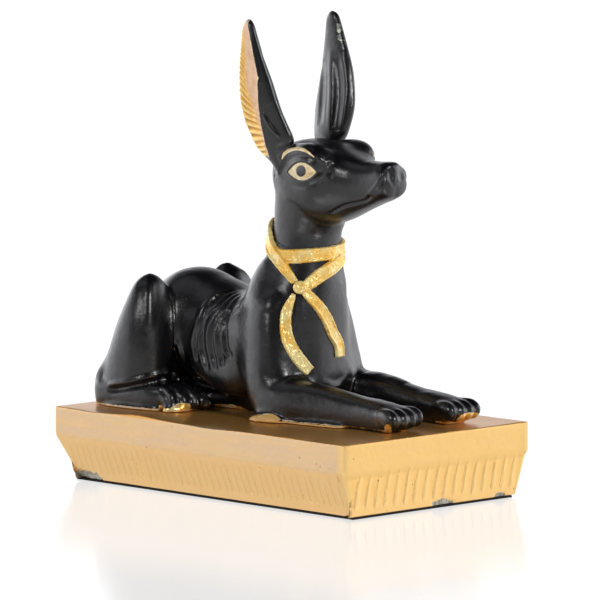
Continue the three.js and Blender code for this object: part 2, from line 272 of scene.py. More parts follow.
def along(points, share):
    """Points of the smooth curve through `points`, at shares of it from 0 to 1."""
    points = np.array(points, float)
    whole = np.vstack([2 * points[0] - points[1], points, 2 * points[-1] - points[-2]])
    spans = len(points) - 1
    reached = np.clip(np.asarray(share, float) * spans, 0, spans - 1e-9)
    first = reached.astype(int)
    t = (reached - first)[:, None]
    p0, p1, p2, p3 = (whole[first + step] for step in range(4))
    d0, d1, d2 = (
        np.maximum(np.linalg.norm(b - a, axis=1, keepdims=True), 1e-4) ** 0.5
        for a, b in ((p0, p1), (p1, p2), (p2, p3))
    )
    m1 = ((p1 - p0) / d0 - (p2 - p0) / (d0 + d1) + (p2 - p1) / d1) * d1
    m2 = ((p2 - p1) / d1 - (p3 - p1) / (d1 + d2) + (p3 - p2) / d2) * d1
    return p1 + m1 * t + (3 * (p2 - p1) - 2 * m1 - m2) * t**2 + (2 * (p1 - p2) + m1 + m2) * t**3


def clip01(value):
    return np.clip(value, 0, 1)


ball = bmesh.new()
bmesh.ops.create_uvsphere(ball, u_segments=40, v_segments=48, radius=1)
BALL = mesh_from("ball", ball)


def add_form(bm, stations, across=(0, 1, 0), power=2.2, caps=(0.2, 0.2), mirror=False):
    """A rounded form along a spine. Each station is [x, y, z, half width, height above, depth below]."""
    bm.from_mesh(BALL)
    bm.verts.ensure_lookup_table()
    made = bm.verts[-len(BALL.vertices):]
    unit = np.array([vert.co for vert in made])
    share = clip01((1 + unit[:, 2]) / 2)
    stations = np.array(stations, float)
    spine = along(stations[:, :3], share)
    size = along(stations[:, 3:], share)
    step = 1e-4
    ahead, behind = np.minimum(share + step, 1), np.maximum(share - step, 0)
    tangent = along(stations[:, :3], ahead) - along(stations[:, :3], behind)
    tangent /= np.linalg.norm(tangent, axis=1, keepdims=True)
    above = np.cross(tangent, np.array(across, float))
    above /= np.linalg.norm(above, axis=1, keepdims=True)
    side = np.cross(above, tangent)
    start = np.minimum(share / caps[0], 1)
    end = np.minimum((1 - share) / caps[1], 1)
    round_off = np.sqrt(clip01(1 - (1 - start) ** 2)) * np.sqrt(clip01(1 - (1 - end) ** 2))
    angle = np.arctan2(unit[:, 1], unit[:, 0])
    c, s = (np.sign(v) * np.abs(v) ** (2 / power) for v in (np.cos(angle), np.sin(angle)))
    up = np.where(s > 0, size[:, 1], size[:, 2])
    moved = spine + side * (c * size[:, 0] * round_off)[:, None] + above * (s * up * round_off)[:, None]
    for vert, place in zip(made, moved):
        vert.co = place
    if mirror:
        twin = bmesh.ops.duplicate(bm, geom=list({face for vert in made for face in vert.link_faces}))["geom"]
        bmesh.ops.scale(bm, vec=(1, -1, 1), verts=[e for e in twin if isinstance(e, bmesh.types.BMVert)])
        bmesh.ops.reverse_faces(bm, faces=[e for e in twin if isinstance(e, bmesh.types.BMFace)])


# Bands and borders have this value at points that lie far outside of them.
OUTSIDE = -9.0


class Clay:
    """A closed mesh that is modelled by strokes. Its joined forms are first remeshed into one skin."""

    def __init__(self, name, bm, grain, placed=to_part):
        self.placed = placed
        rough = mesh_from(name, bm)
        holder = add_object(name, rough)
        skin = holder.modifiers.new("skin", "REMESH")
        skin.mode = "VOXEL"
        skin.voxel_size = grain
        finished = holder.evaluated_get(bpy.context.evaluated_depsgraph_get())
        self.mesh = bpy.data.meshes.new_from_object(finished)
        self.mesh.name = name
        bpy.data.objects.remove(holder)
        bpy.data.meshes.remove(rough)
        self.read()

    def read(self):
        self.count = len(self.mesh.vertices)
        self.points = np.empty(self.count * 3)
        self.mesh.vertices.foreach_get("co", self.points)
        self.points = self.points.reshape(-1, 3)
        ends = np.empty(len(self.mesh.edges) * 2, int)
        self.mesh.edges.foreach_get("vertices", ends)
        self.ends = ends.reshape(-1, 2)
        self.links = np.bincount(ends, minlength=self.count)[:, None]
        self.settle()

    def settle(self):
        """Writes the points back and finds the normals again."""
        self.mesh.vertices.foreach_set("co", self.points.ravel())
        self.mesh.update()
        normals = np.empty(self.count * 3)
        self.mesh.vertex_normals.foreach_get("vector", normals)
        self.normals = normals.reshape(-1, 3)

    def smooth(self, times, hold=0.0):
        """Draws each point towards its neighbours. `hold` is the share, for each point, that stays."""
        first, second = self.ends.T
        share = 0.5 * (1 - np.broadcast_to(hold, self.count))[:, None]
        for _ in range(times):
            mean = np.empty_like(self.points)
            for axis in range(3):
                column = self.points[:, axis]
                mean[:, axis] = np.bincount(first, column[second], self.count)
                mean[:, axis] += np.bincount(second, column[first], self.count)
            self.points += share * (mean / self.links - self.points)
        self.settle()

    def away(self, path, among=slice(None)):
        """Each point's distance from a path, and the share of the path that it lies at."""
        path = np.array(path, float)
        points = self.points[among]
        best = np.full(len(points), np.inf)
        share = np.zeros(len(points))
        spans = max(len(path) - 1, 1)
        for i in range(spans):
            start, end = path[i], path[min(i + 1, len(path) - 1)]
            span = end - start
            t = clip01((points - start) @ span / max(span @ span, 1e-9))
            far = np.sqrt(((points - start - t[:, None] * span) ** 2).sum(axis=1))
            nearer = far < best
            best[nearer] = far[nearer]
            share[nearer] = (i + t[nearer]) / spans
        return best, share

    def stroke(self, path, reach, rise, taper=0.0, sides=1):
        """Raises a ridge of `rise` at the path, which falls to nothing at `reach`. Negative cuts a groove."""
        drawn = np.array(path, float)
        if len(path) > 2:
            drawn = along(path, np.linspace(0, 1, 5 * len(path)))
        for side in (1, -1)[:sides]:
            line = drawn * (1, side, 1)
            low, high = line.min(axis=0) - reach, line.max(axis=0) + reach
            around = np.nonzero(((self.points > low) & (self.points < high)).all(axis=1))[0]
            far, share = self.away(line, around)
            near = around[far < reach]
            share = share[far < reach]
            fall = (1 - (far[far < reach] / reach) ** 2) ** 2
            if taper:
                fall *= clip01(np.minimum(share, 1 - share) / taper) ** 0.5
            self.points[near] += self.normals[near] * (rise * fall)[:, None]

    def draw(self, tree, pixels, reach, rise, taper=0.2, shift=(0, 0), sides=2):
        """A stroke through pixels of the picture, all moved by `shift`, laid over the surface in `tree`."""
        self.stroke(self.seen(np.add(pixels, shift).tolist(), tree), reach, rise, taper, sides)

    def picture(self, side=1):
        """Where the points show in the picture, in its pixels. Side -1 gives it for the mirrored points."""
        placed = np.array(self.placed)
        away = (self.points * (1, side, 1)) @ placed[:3, :3].T + placed[:3, 3] - np.array(camera.location)
        depth = -(away @ np.array(picture_back)) * PIXEL
        across = PICTURE_MIDDLE + away @ np.array(picture_right) / depth
        return across, PICTURE_MIDDLE - away @ np.array(picture_up) / depth

    def seen(self, pixels, tree):
        """The points of a surface that show at these pixels of the picture, or nearest to them."""
        back = self.placed.inverted()
        eye = back @ camera.location
        found = []
        for across, down in pixels:
            ray = (across - PICTURE_MIDDLE) * PIXEL * picture_right
            ray += (PICTURE_MIDDLE - down) * PIXEL * picture_up
            ray = (back.to_3x3() @ (ray - picture_back)).normalized()
            hit = tree.ray_cast(eye, ray)[0]
            if hit is None:
                middle = CAMERA_DISTANCE / MM
                steps = (eye + ray * (middle + step) for step in np.linspace(-90, 90, 181))
                hit = min((tree.find_nearest(step) for step in steps), key=lambda nearest: nearest[3])[0]
            found.append(hit)
        return np.array(found)

    def band(self, rows, side=1):
        """How many pixels inside a band of the picture each point shows. Rows are (across, down, half)."""
        across, down = self.picture(side)
        inside = np.full(self.count, OUTSIDE)
        for at_across, at_down, half in along(rows, np.linspace(0, 1, 10 * len(rows))):
            inside = np.maximum(inside, half - np.hypot(across - at_across, down - at_down))
        return inside

    def bands(self, lines):
        return np.maximum.reduce([self.band(rows) for rows in lines])

    def near(self, path, reach):
        """1 on the path and on its mirror image, falling to 0 at `reach`."""
        drawn = along(path, np.linspace(0, 1, 4 * len(path)))
        far = np.minimum(self.away(drawn)[0], self.away(drawn * (1, -1, 1))[0])
        return clip01(1 - far / reach)

    def tree(self):
        """A search tree of the surface as it is now, for what is laid on it."""
        faces = [list(face.vertices) for face in self.mesh.polygons]
        return BVHTree.FromPolygons(self.points.tolist(), faces)

    def keep(self, name, values):
        """Keeps a value for each point, for the paint to read."""
        layer = self.mesh.attributes.new(name, "FLOAT", "POINT")
        layer.data.foreach_set("value", np.asarray(values, np.float32))

    def cut(self, point, normal):
        """Cuts the mesh by a plane, closes it, and keeps what is on the side away from the normal."""
        bm = bmesh.new()
        bm.from_mesh(self.mesh)
        geom = [*bm.verts, *bm.edges, *bm.faces]
        made = bmesh.ops.bisect_plane(bm, geom=geom, plane_co=point, plane_no=normal, clear_outer=True)
        rim = [e for e in made["geom_cut"] if isinstance(e, bmesh.types.BMEdge)]
        bmesh.ops.edgeloop_fill(bm, edges=rim)
        bm.to_mesh(self.mesh)
        bm.free()
        self.read()


def add_piece(name, mesh, material, slot, *nodes):
    """Shows a finished mesh as a piece of the object."""
    for polygon in mesh.polygons:
        polygon.use_smooth = True
    mesh.materials.append(material)
    piece = add_object(name, mesh)
    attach(piece, "root")
    if nodes:
        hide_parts(*nodes)


TRUNK = [
    [-68.5, 0, 14, 13, 7, 12], [-61.5, 0, 24.5, 18, 19.5, 21], [-52.5, 0, 28, 20, 24.4, 23],
    [-40.5, 0, 28, 18.5, 21.6, 18], [-26.5, 0, 27, 20.5, 18.3, 18], [-9, 0, 28, 22.5, 20.5, 19],
    [4, 0, 30, 20, 20, 22],
]
NECK = [
    [6, 0, 2, 22, 12, 12], [4, 0, 14, 24, 16, 15.5], [3, 0, 28, 23, 16, 15.6],
    [2.5, 0, 40, 21.5, 15.5, 16.2], [2.5, 0, 50, 18, 14.5, 15.8], [3, 0, 58, 14.8, 14, 14.6],
    [4, 0, 66, 13, 13.4, 13.4], [5, 0, 76, 12.2, 12.3, 13.2], [6, 0, 86, 12, 11.5, 13],
    [7, 0, 95, 11, 10, 11],
]
SHOULDER = [
    [-3, -12, 52, 5.5, 6, 6], [-1.5, -15.5, 41, 8, 10.5, 9.5], [0, -17.5, 27, 8.6, 13, 11],
    [2, -19.5, 13, 8.4, 12, 11], [4, -20.5, 2, 7.5, 9.5, 9],
]
BLADE = [
    [2.5, -6, 63, 5, 5, 5], [-1, -8, 57, 7, 7.5, 7], [-4.5, -10, 50, 8.6, 9.5, 9],
    [-5.5, -13, 40, 8.8, 10, 9.5], [-4.5, -16, 28, 7.5, 9.5, 8],
]
FORELEG = [
    [-3, -20.5, 6, 7.5, 7, 8], [12, -19.5, 7.5, 8.3, 8.5, 10], [30, -17.8, 6.5, 7, 8, 9],
    [48, -17, 5.5, 6.2, 6.3, 8], [60, -16.5, 5, 7, 5.4, 7], [68.5, -16.5, 4, 7.4, 4.2, 6],
]
HAUNCH = [
    [-57, -22, 51.7, 4.6, 4.4, 4.4], [-57, -23, 43, 8.6, 7.6, 6.8], [-58, -24.5, 30, 11, 11.2, 10.8],
    [-59.5, -25.5, 16, 11, 13.6, 14.5], [-61.5, -26, 4, 10.5, 14.5, 15.5],
]
HIND_FOOT = [
    [-78.2, -28.5, 5, 6.6, 5.8, 8], [-66, -28.5, 5.5, 7.8, 6, 8], [-50, -28.5, 5, 7, 5.6, 7.5],
    [-40, -27, 4.6, 6.2, 4.6, 7],
]
HEEL = [
    [-74.5, -29, 5, 5, 3.6, 3.6], [-74.1, -29, 10, 5, 3.6, 3.6], [-70.7, -28.5, 16.5, 4.6, 3.4, 3.4],
    [-68, -28, 21, 4, 3, 3],
]
BELLY = [
    [-43, -11, 24, 6, 6, 6], [-36, -12.5, 19, 6.5, 7, 7.5], [-28, -13.5, 16.5, 6.5, 7.5, 9],
    [-19, -14, 15.5, 7, 8, 9.6], [-8, -15, 15.5, 7, 8, 9.4],
]
BELLY_FILL = [[-68, 0, 5, 18, 7, 8], [-30, 0, 5, 10, 6, 8], [12, 0, 6, 13, 9, 8]]
HIND_CLAWS = [
    [-39, -35, 0.4, 1.8, 1.6, 1.5], [-36, -31.5, 0.8, 2.2, 2.6, 1.5], [-34.5, -27.5, 1, 2.2, 3, 1.5],
    [-34.5, -24.5, 0.8, 1.6, 2.2, 1.5],
]
# Low lips of filler set the casting on the plinth, along the hind foot, at the elbow and along the foreleg.
FILLER_LIPS = [
    [
        [-77, -31, 0, 2.5, 1.1, 1], [-64, -34.6, 0, 2.6, 1.2, 1], [-50, -34, 0, 2.4, 1.1, 1],
        [-42, -33, 0, 2.2, 1, 1],
    ],
    [
        [1, -27, 0, 2.5, 0.8, 1], [6, -28.4, 0, 3.6, 2.6, 1], [12, -27.8, 0, 3.6, 2.6, 1],
        [18, -26, 0, 2.4, 1, 1],
    ],
    [[16, -25.8, 0, 2, 0.9, 1], [30, -25.2, 0, 2, 0.9, 1], [44, -23.8, 0, 1.8, 0.8, 1]],
]
TAIL = [
    [-67, 0, 18, 4.5, 4.5, 4.5], [-72, -1, 9, 3.6, 3.6, 3.6], [-74, -8, 4.5, 3, 3, 3],
    [-73.5, -17, 3, 1.8, 1.8, 2.2],
]
BODY_GRAIN = 0.78

body = bmesh.new()
add_form(body, TRUNK, caps=(0.1, 0.2))
add_form(body, NECK, caps=(0.06, 0.1))
add_form(body, SHOULDER, mirror=True)
add_form(body, BLADE, caps=(0.15, 0.2), mirror=True)
add_form(body, FORELEG, power=2.7, caps=(0.1, 0.08), mirror=True)
add_form(body, HAUNCH, caps=(0.16, 0.1), mirror=True)
add_form(body, HIND_FOOT, power=2.9, caps=(0.15, 0.15), mirror=True)
add_form(body, HEEL, caps=(0.1, 0.2), mirror=True)
add_form(body, BELLY, mirror=True)
add_form(body, BELLY_FILL, power=3)
add_form(body, TAIL, across=(0, 0, 1))
add_form(body, HIND_CLAWS, across=(1, 0, 0), mirror=True)
for lip in FILLER_LIPS:
    add_form(body, lip, caps=(0.1, 0.1))
TOES = 4
FORE_PAW = -16.5
HIND_PAW = -26
for toe in range(TOES):
    share = toe / (TOES - 1) - 0.5
    front = FORE_PAW + share * 13.5
    fore_toe = [
        [59, FORE_PAW + share * 9, 5.5, 2.2, 3, 4],
        [67, front, 5.6, 2.5, 3.4, 4.5],
        [72.5 - abs(share) * 2.4, front, 2.8, 2.3, 2.8, 4],
    ]
    hind_toe = [
        [-47, HIND_PAW + share * 8, 6.4, 2.2, 3.6, 5],
        [-38 + share * 4, HIND_PAW + share * 11, 5.4, 2.3, 3.6, 5],
        [-31 + share * 9, HIND_PAW + share * 12, 2.2, 2.0, 2.3, 3.4],
    ]
    add_form(body, fore_toe, caps=(0.2, 0.3), mirror=True)
    add_form(body, hind_toe, caps=(0.2, 0.3), mirror=True)
clay = Clay("jackal_body", body, BODY_GRAIN)

# The paws and the lips of filler keep most of their shape while the rest is smoothed. Then the hollows behind
# the shoulder and beside the breast are smoothed further.
FORE_TOES_X = 50
HIND_TOES_X = -26
HIND_TOES_TOP = 14
LIPS_TOP = 3
LIPS_FROM = 20
SHOULDER_REAR = [[-10, -20, 50], [-10, -22, 38], [-9, -24, 25], [-6, -25, 12]]
BREAST_SIDE = [[12, -16, 52], [13, -18, 38], [13, -20, 26]]
x, y, z = clay.points.T
paws = np.maximum(x > FORE_TOES_X, (x < HIND_TOES_X) & (z < HIND_TOES_TOP)) * 0.8
lips = ((z < LIPS_TOP) & (np.abs(y) > LIPS_FROM)) * 0.85
clay.smooth(24, hold=np.maximum(paws, lips))
loose = np.maximum(clay.near(SHOULDER_REAR, 12), clay.near(BREAST_SIDE, 9))
clay.smooth(140, hold=1 - clip01(loose * 1.6))

# The lean flank, placed as the picture shows it: the ribs that curve down and back with a groove in front
# of each, and the fold of skin along the belly with its dark undercut.
RIBS = [
    [(230.3, 290.7), (212.4, 297.1), (202.2, 309.8), (195.9, 326.4), (192, 344.3), (194.6, 362.1)],
    [(234.1, 292), (216.3, 304.7), (203.5, 315), (198.4, 331.5), (199.7, 351.9), (204.8, 369.8)],
    [(236.7, 293.3), (222.7, 306), (212.4, 318.8), (207.3, 336.6), (208.6, 351.9), (212.4, 369.8)],
    [(236.7, 295.8), (227.8, 308.6), (217.6, 318.8), (215, 336.6), (217.6, 357), (218.8, 367.2)],
    [(235.4, 306), (223.9, 316.2), (221.4, 336.6), (223.9, 351.9), (227.8, 357)],
]
RIB_GAP = 3.9
RIB_RISE = 0.75
RIB_GROOVE = -1.1
BELLY_FOLD = [
    (176.7, 340.5), (180, 353), (184.4, 363.4), (192, 376.4), (202.2, 385), (212.4, 388.4), (230, 390.4),
]
FOLD_UNDER = 4.4
bare = clay.tree()
for line in RIBS:
    clay.draw(bare, line, 1.4, RIB_RISE)
    clay.draw(bare, line, 1.3, RIB_GROOVE, shift=(RIB_GAP, 0))
clay.draw(bare, BELLY_FOLD, 1.5, 1.1, 0.15)
clay.draw(bare, BELLY_FOLD, 1.9, -1.6, 0.15, shift=(-FOLD_UNDER * 0.5, FOLD_UNDER))

# The folded hind leg: the shin's crease over the foot with a knob at its end, the grooves between the toes,
# and the lines up the front of the thigh.
SHIN_CREASE = [(108, 385), (123, 383), (146, 378), (158, 375), (166.5, 373)]
CREASE_UNDER = 5
TOE_GROOVES = [
    [(160, 389), (166, 396), (169, 403)], [(168, 386), (176, 394), (181, 403)],
    [(176, 383), (187, 392), (195, 402)], [(184, 380), (197, 389), (208, 400)],
]
THIGH_FRONT = [(170, 300), (171.6, 315), (171.6, 340), (170, 363)]
KNEE_EDGE = [(148.7, 280), (149, 295), (149.3, 312), (148, 330)]
clay.draw(bare, SHIN_CREASE, 1.3, 1.0, 0.1)
clay.draw(bare, SHIN_CREASE, 1.9, -1.7, 0.15, shift=(0, CREASE_UNDER))
clay.draw(bare, SHIN_CREASE[-1:], 2.2, 1.4, 0)
for line in TOE_GROOVES:
    clay.draw(bare, line, 1.2, -0.9, 0.1)
clay.draw(bare, THIGH_FRONT, 1.1, 0.6)
clay.draw(bare, KNEE_EDGE, 3.2, 0.8, 0.3)

# The arm and breast: a swelling over the upper arm, the bend of the elbow, and the ridge along the foreleg.
# The haunch and foreleg are fuller on the left, and the breast is hollow there.
ARM_SWELLING = [(276, 291), (272, 300), (270, 312)]
ELBOW_BEND = [(262, 360), (272, 376), (283, 385), (300, 389)]
LEG_RIDGE = [(320, 382), (335, 387), (350, 391.6), (366, 396), (382, 400)]
LEFT_HAUNCH = [[-61, 19, 50.5], [-58.5, 21, 55.5]]
LEFT_LEG = [[20, 18, 15], [40, 17, 12.5]]
LEFT_BREAST = [[13, 15, 42], [14, 16, 34], [15, 16, 26]]
clay.draw(bare, ARM_SWELLING, 4.5, 0.6, 0.3)
clay.draw(bare, ELBOW_BEND, 5, -0.4, 0.3)
clay.draw(bare, LEG_RIDGE, 2.6, 0.7)
clay.stroke(LEFT_HAUNCH, 6.5, 1.5)
clay.stroke(LEFT_LEG, 8, 0.9, 0.3)
clay.stroke(LEFT_BREAST, 11, -1.5)
clay.settle()
clay.smooth(1)
coat = clay.tree()
NECK_CUT = (3.9, 0, 65.7)
NECK_SLOPE = (0.313, 0, 0.95)
clay.cut((0, 0, 0), (0, 0, -1))
clay.cut(NECK_CUT, NECK_SLOPE)

# What the paint reads, as bands of the picture with rows of (across, down, half width): gold left on the
# claws, the gilt filler, and a pale line along the plinth. The left claws and the filler's lips go by their
# own place.
CLAW_GOLD = [
    [
        (160.5, 406.5, 1.8), (163, 409.8, 2.6), (168, 411, 2.6), (175, 409, 3.4), (181, 406.8, 3.8),
        (187, 406.2, 3.2),
    ],
    [(387.3, 427, 2.6), (388, 431, 3.8), (387.5, 433.5, 2.6)],
    [(401.5, 432, 0.9), (405.5, 431.2, 1.3), (410, 430.6, 0.9)],
    [(436, 421.8, 0.8), (446, 422.8, 1.3), (457, 423.4, 1.8)],
    [(460.5, 420.5, 4), (466, 418.5, 5), (472, 417.5, 5), (478, 416.5, 3.2)],
    [(214.5, 405.8, 1.6), (222, 406.4, 2.2), (231, 407, 2.4), (240, 409, 2.2), (250, 411.2, 0.3)],
]
MOUND = [(258, 418.5, 1), (264, 417, 3), (272, 417.2, 3.2), (279, 419.4, 1.4)]
PALE_LINES = [
    [(257, 418, 0.5), (263, 414.6, 0.7), (268, 413.8, 0.4)],
    [(280, 419.6, 0.8), (302, 422.6, 0.7), (328, 424.8, 0.8), (344, 427.2, 0.6)],
    [(99, 403.8, 0.7), (117, 405.8, 0.9), (137, 408, 0.8), (159.5, 410, 0.7)],
]
CLAWS_TOP = 9
LEFT_CLAWS_TOP = 2.6
FILLER_TOP = 4
LIP_HEIGHT = 0.8
LIP_FROM = 22.5
ELBOW_X = 8
ELBOW_HEIGHT = 2.8
ELBOW_FROM = 25
x, y, z = clay.points.T
far_claws = np.where((x < -22) & (y > 20) & (x > -42), LEFT_CLAWS_TOP - z, OUTSIDE)
clay.keep("gold", np.where(z < CLAWS_TOP, np.maximum(clay.bands(CLAW_GOLD), far_claws), OUTSIDE))
at_elbow = ELBOW_HEIGHT - np.abs(x - ELBOW_X) * 0.24 - z
lips = np.maximum(np.minimum(LIP_HEIGHT - z, -LIP_FROM - y), np.minimum(at_elbow, -ELBOW_FROM - y))
clay.keep("mound", np.where(z < FILLER_TOP, np.maximum(clay.band(MOUND), lips), OUTSIDE))
clay.keep("line", np.where(z < FILLER_TOP, clay.bands(PALE_LINES), OUTSIDE))


def black_finish(paint):
    """Black paint over small lumps and brush marks, with a little dust: its colour, roughness and relief."""
    patchy = paint.cloud(60, detail=4)
    grainy = paint.cloud(1300, detail=2)
    uneven = paint.cloud(230, detail=3)
    rough_patch = paint.cloud(90, detail=2).rise(0.5, 0.62)
    tone = paint.mix(patchy.rise(0.35, 0.7), (0.002, 0.002, 0.003), (0.006, 0.006, 0.008))
    dust = paint.specks(520, 0.11) * paint.cloud(90, detail=2).rise(0.52, 0.6)
    tone = paint.mix(dust * 0.7, tone, (0.2, 0.19, 0.17))
    roughness = 0.24 + patchy * 0.14
    normal = paint.relief((uneven, 0.00022), (grainy * (0.4 + rough_patch * 0.5), 0.000035))
    return tone, roughness, normal


BLACK_GLOSS = 0.72
material, paint = new_material("black paint")
tone, roughness, normal = black_finish(paint)
ragged = (paint.cloud(600, detail=3) - 0.5) * 2.6
gold = (paint.held("gold") + ragged).rise(-0.2, 0.3)
filled = (paint.held("mound") + ragged * 0.4).rise(-0.2, 0.4)
waxy = (paint.held("line") + ragged * 0.5).rise(-0.2, 0.4)
claw_gold = paint.mix(paint.cloud(350, detail=3).rise(0.4, 0.6), (0.95, 0.5, 0.08), (1.0, 0.86, 0.45))
paint.finish(paint.surface(
    Base_Color=paint.coats(tone, (filled, (0.8, 0.47, 0.15)), (gold, claw_gold), (waxy, (0.8, 0.66, 0.5))),
    Metallic=gold * 0.4,
    Roughness=roughness,
    Specular_IOR_Level=BLACK_GLOSS,
    Normal=normal,
))
clay.mesh.transform(to_part)
add_piece("jackal_body", clay.mesh, material, "black_paint", "jackal")

# The head, of the same casting and paint, with tall hollow ears. The outer faces of the ears, the eyes and
# the brows are picked out in gold. The left ear is narrower at its foot than the right one.
HEAD_TURN = math.radians(-4)
HEAD_PIVOT = Vector((5, 0, 0))
HEAD_GRAIN = 0.4
SKULL = [
    [-7, 0, 92.5, 8, 6.5, 7], [-1, 0, 92.5, 12.8, 11.4, 11.5], [8, 0, 92.5, 15.6, 13.6, 16],
    [19, 0, 92, 15.8, 13.2, 18], [28, 0, 91.5, 12.6, 10.8, 15.5], [37, 0, 91, 9.4, 9, 11],
    [45, 0, 91, 7.8, 8.6, 7.4], [50.5, 0, 91.7, 7.4, 8.2, 5.9], [53.4, 0, 91.8, 6, 6.6, 4.8],
]
ORBIT = [
    [5, -9.5, 97.5, 4, 5, 5], [13, -11.2, 98.8, 6.2, 6.4, 7], [22, -11.6, 99, 6.2, 6.4, 7],
    [29, -8, 94, 2.6, 2.8, 3.4],
]
JAW = [
    [3, 0, 84, 13.4, 9, 8.4], [13, 0, 82.6, 13, 8, 7.4], [23, 0, 83, 9.6, 7, 6.4],
]
THROAT = [
    [4.4, 0, 70, 12.8, 13, 13], [6.5, 0, 78, 13, 14.2, 14], [8, 0, 86, 14, 14, 13],
    [9, 0, 92, 14, 11.6, 12],
]
EAR = [
    [6, -11.5, 93, 4, 3, 4], [4.8, -13.4, 99, 5.4, 3.4, 4.6], [3.9, -14.3, 102, 7.8, 3.5, 5],
    [3.1, -15.1, 105, 10.6, 3.6, 5.2], [-0.8, -18, 116, 10.5, 3.6, 5.2], [-2.6, -19.8, 127, 9.2, 3, 4.6],
    [-3.8, -21.2, 139, 6, 2, 3.2], [-4.7, -22, 152.4, 2.3, 1.2, 1.8],
]
LEFT_EAR = [
    [3.6, -12.7, 93.5, 4, 3, 4], [2.3, -14.6, 99.8, 4.6, 3.4, 4.6], [1.2, -15.5, 102.8, 6.4, 3.5, 5],
    [0.5, -16.3, 105.8, 8.4, 3.6, 5.2], [-0.1, -19.2, 116.8, 10.3, 3.6, 5.2], [-1, -21, 127.8, 9, 3, 4.6],
    [-3, -22.2, 139.8, 6.2, 2, 3.2], [-4.9, -22.4, 153.3, 2.8, 1.4, 2],
]
head = bmesh.new()
add_form(head, SKULL, power=2.5, caps=(0.08, 0.06))
for ear, side, inward in ((EAR, 1, 0), (LEFT_EAR, -1, 0.8)):
    orbit = [[x, side * (y + inward), *rest] for x, y, *rest in ORBIT]
    add_form(head, orbit, power=2.4)
    ear = [[x, side * y, *rest] for x, y, *rest in ear]
    add_form(head, ear, across=(side, 0, 0), power=1.7, caps=(0.05, 0.035))
add_form(head, NECK, caps=(0.06, 0.1))
add_form(head, THROAT, caps=(0.2, 0.2))
add_form(head, JAW, power=2.6)
turn = Matrix.Translation(HEAD_PIVOT) @ Matrix.Rotation(HEAD_TURN, 4, "Z") @ Matrix.Translation(-HEAD_PIVOT)
clay = Clay("jackal_head", head, HEAD_GRAIN, placed=to_part @ turn)
EARS_FROM = 101
NOSE_FROM = 38
ears = clip01((clay.points[:, 2] - EARS_FROM) / 4)
nose = clip01((clay.points[:, 0] - NOSE_FROM) / 6)
clay.smooth(70, hold=np.maximum(ears, nose))
INNER_ORBIT = [[25, -9, 101], [31, -6, 98], [40, -5, 95]]
clay.smooth(150, hold=1 - clip01(clay.near(INNER_ORBIT, 9) * 1.8))
HEAD_CUT = (3.9, 0, 65.2)
clay.cut(HEAD_CUT, -Vector(NECK_SLOPE))
clay.smooth(8)

# The eye is an almond between two arcs, as it shows in the picture. Its border is in millimetres, positive
# inside. The ball swells inside it, and the lid, a groove and a shallow socket lie round it.
EYE_CENTRE = (302.2, 172.1)
EYE_HALF = 14.2
UPPER_ARC = 9.6
LOWER_ARC = 8.2
PUPIL_CENTRE = (301, 171)
PUPIL_HALF = (5.2, 6.1)
PIXEL_WIDE = CAMERA_DISTANCE * PIXEL / MM
SIDE_FROM = 6
FACING_IN = 0.2


def eye_border(across, down):
    aside = (across - EYE_CENTRE[0]) / EYE_HALF
    up = EYE_CENTRE[1] - down
    wide = np.clip(1 - aside**2, -2, 1)
    inside = np.minimum(UPPER_ARC * wide * (1 - 0.12 * aside) - up, up + LOWER_ARC * wide)
    arc = np.where(up > 0, UPPER_ARC, LOWER_ARC)
    steep = np.sqrt(1 + (2 * arc * aside / EYE_HALF) ** 2)
    return np.minimum(inside / steep, (1.25 - np.hypot(aside, up / arc)) * 9) * PIXEL_WIDE


def bump(distance, centre, reach):
    return clip01(1 - ((distance - centre) / reach) ** 2) ** 2


def on_both_sides(work):
    """Models the right side of the points, and then the left as if it were seen in a mirror."""
    for side in (1, -1):
        flip = np.array((1, side, 1))
        work(clay.points * flip, clay.normals * flip, flip)


def model_eye(points, normals, flip):
    x, y, z = points.T
    face = (y < -SIDE_FROM) & (normals[:, 1] < FACING_IN) & (np.abs(x - 18) < 18) & (np.abs(z - 95) < 12)
    border = eye_border(*clay.picture(flip[1]))
    ball = clip01(border / 2.8) ** 0.6 - 0.3
    socket = -0.3 * clip01(1 + border / 5)
    lid = bump(border, -0.6, 0.7) * 0.35
    groove = bump(border, -2.6, 1.1) * -0.35
    rise = np.where(border > 0, ball, lid + groove) + socket
    clay.points[face] += (normals * flip * rise[:, None])[face]


on_both_sides(model_eye)
clay.settle()

# The brow with small bumps before it, the lip with a dark line below, and the nose with its nostrils.
BROW = [(282, 159), (284, 154.5), (288.3, 151), (297, 148.7), (305.5, 150.8), (314, 157)]
BROW_HALF = 1.75
BUMPS = [(319.5, 160), (325, 163.5), (329.5, 161)]
LIP_LINE = [
    (330.3, 211.1), (344.4, 203.5), (365, 198.6), (370.4, 192.7), (376.9, 185.1), (382.3, 174.2),
    (381.8, 168.8),
]
LIP_UNDER = (0.5, 2.2)
LIP_BESIDE = (2.2, 0.6)
NOSTRIL = [(386.5, 168), (389.9, 172), (391, 176)]
NOSTRIL_SLIT = [(391.5, 180.5), (393.5, 184)]
NOSE_MIDDLE = [[53.6, 0, 95.5], [53.8, 0, 90], [52, 0, 86.5]]
bare = clay.tree()
clay.draw(bare, BROW, 1.5, 0.5)
for place in BUMPS:
    clay.draw(bare, [place], 1.8, 0.35, 0)
clay.draw(bare, LIP_LINE, 1.3, 0.28)
clay.draw(bare, LIP_LINE[:4], 1.3, -0.9, 0.12, shift=LIP_UNDER)
clay.draw(bare, LIP_LINE[3:], 1.5, -0.3, shift=LIP_BESIDE)
clay.draw(bare, NOSTRIL, 2.8, -0.6, 0)
clay.draw(bare, NOSTRIL_SLIT, 1.6, -0.2, 0)
clay.stroke(NOSE_MIDDLE, 1.6, -0.15)
clay.settle()

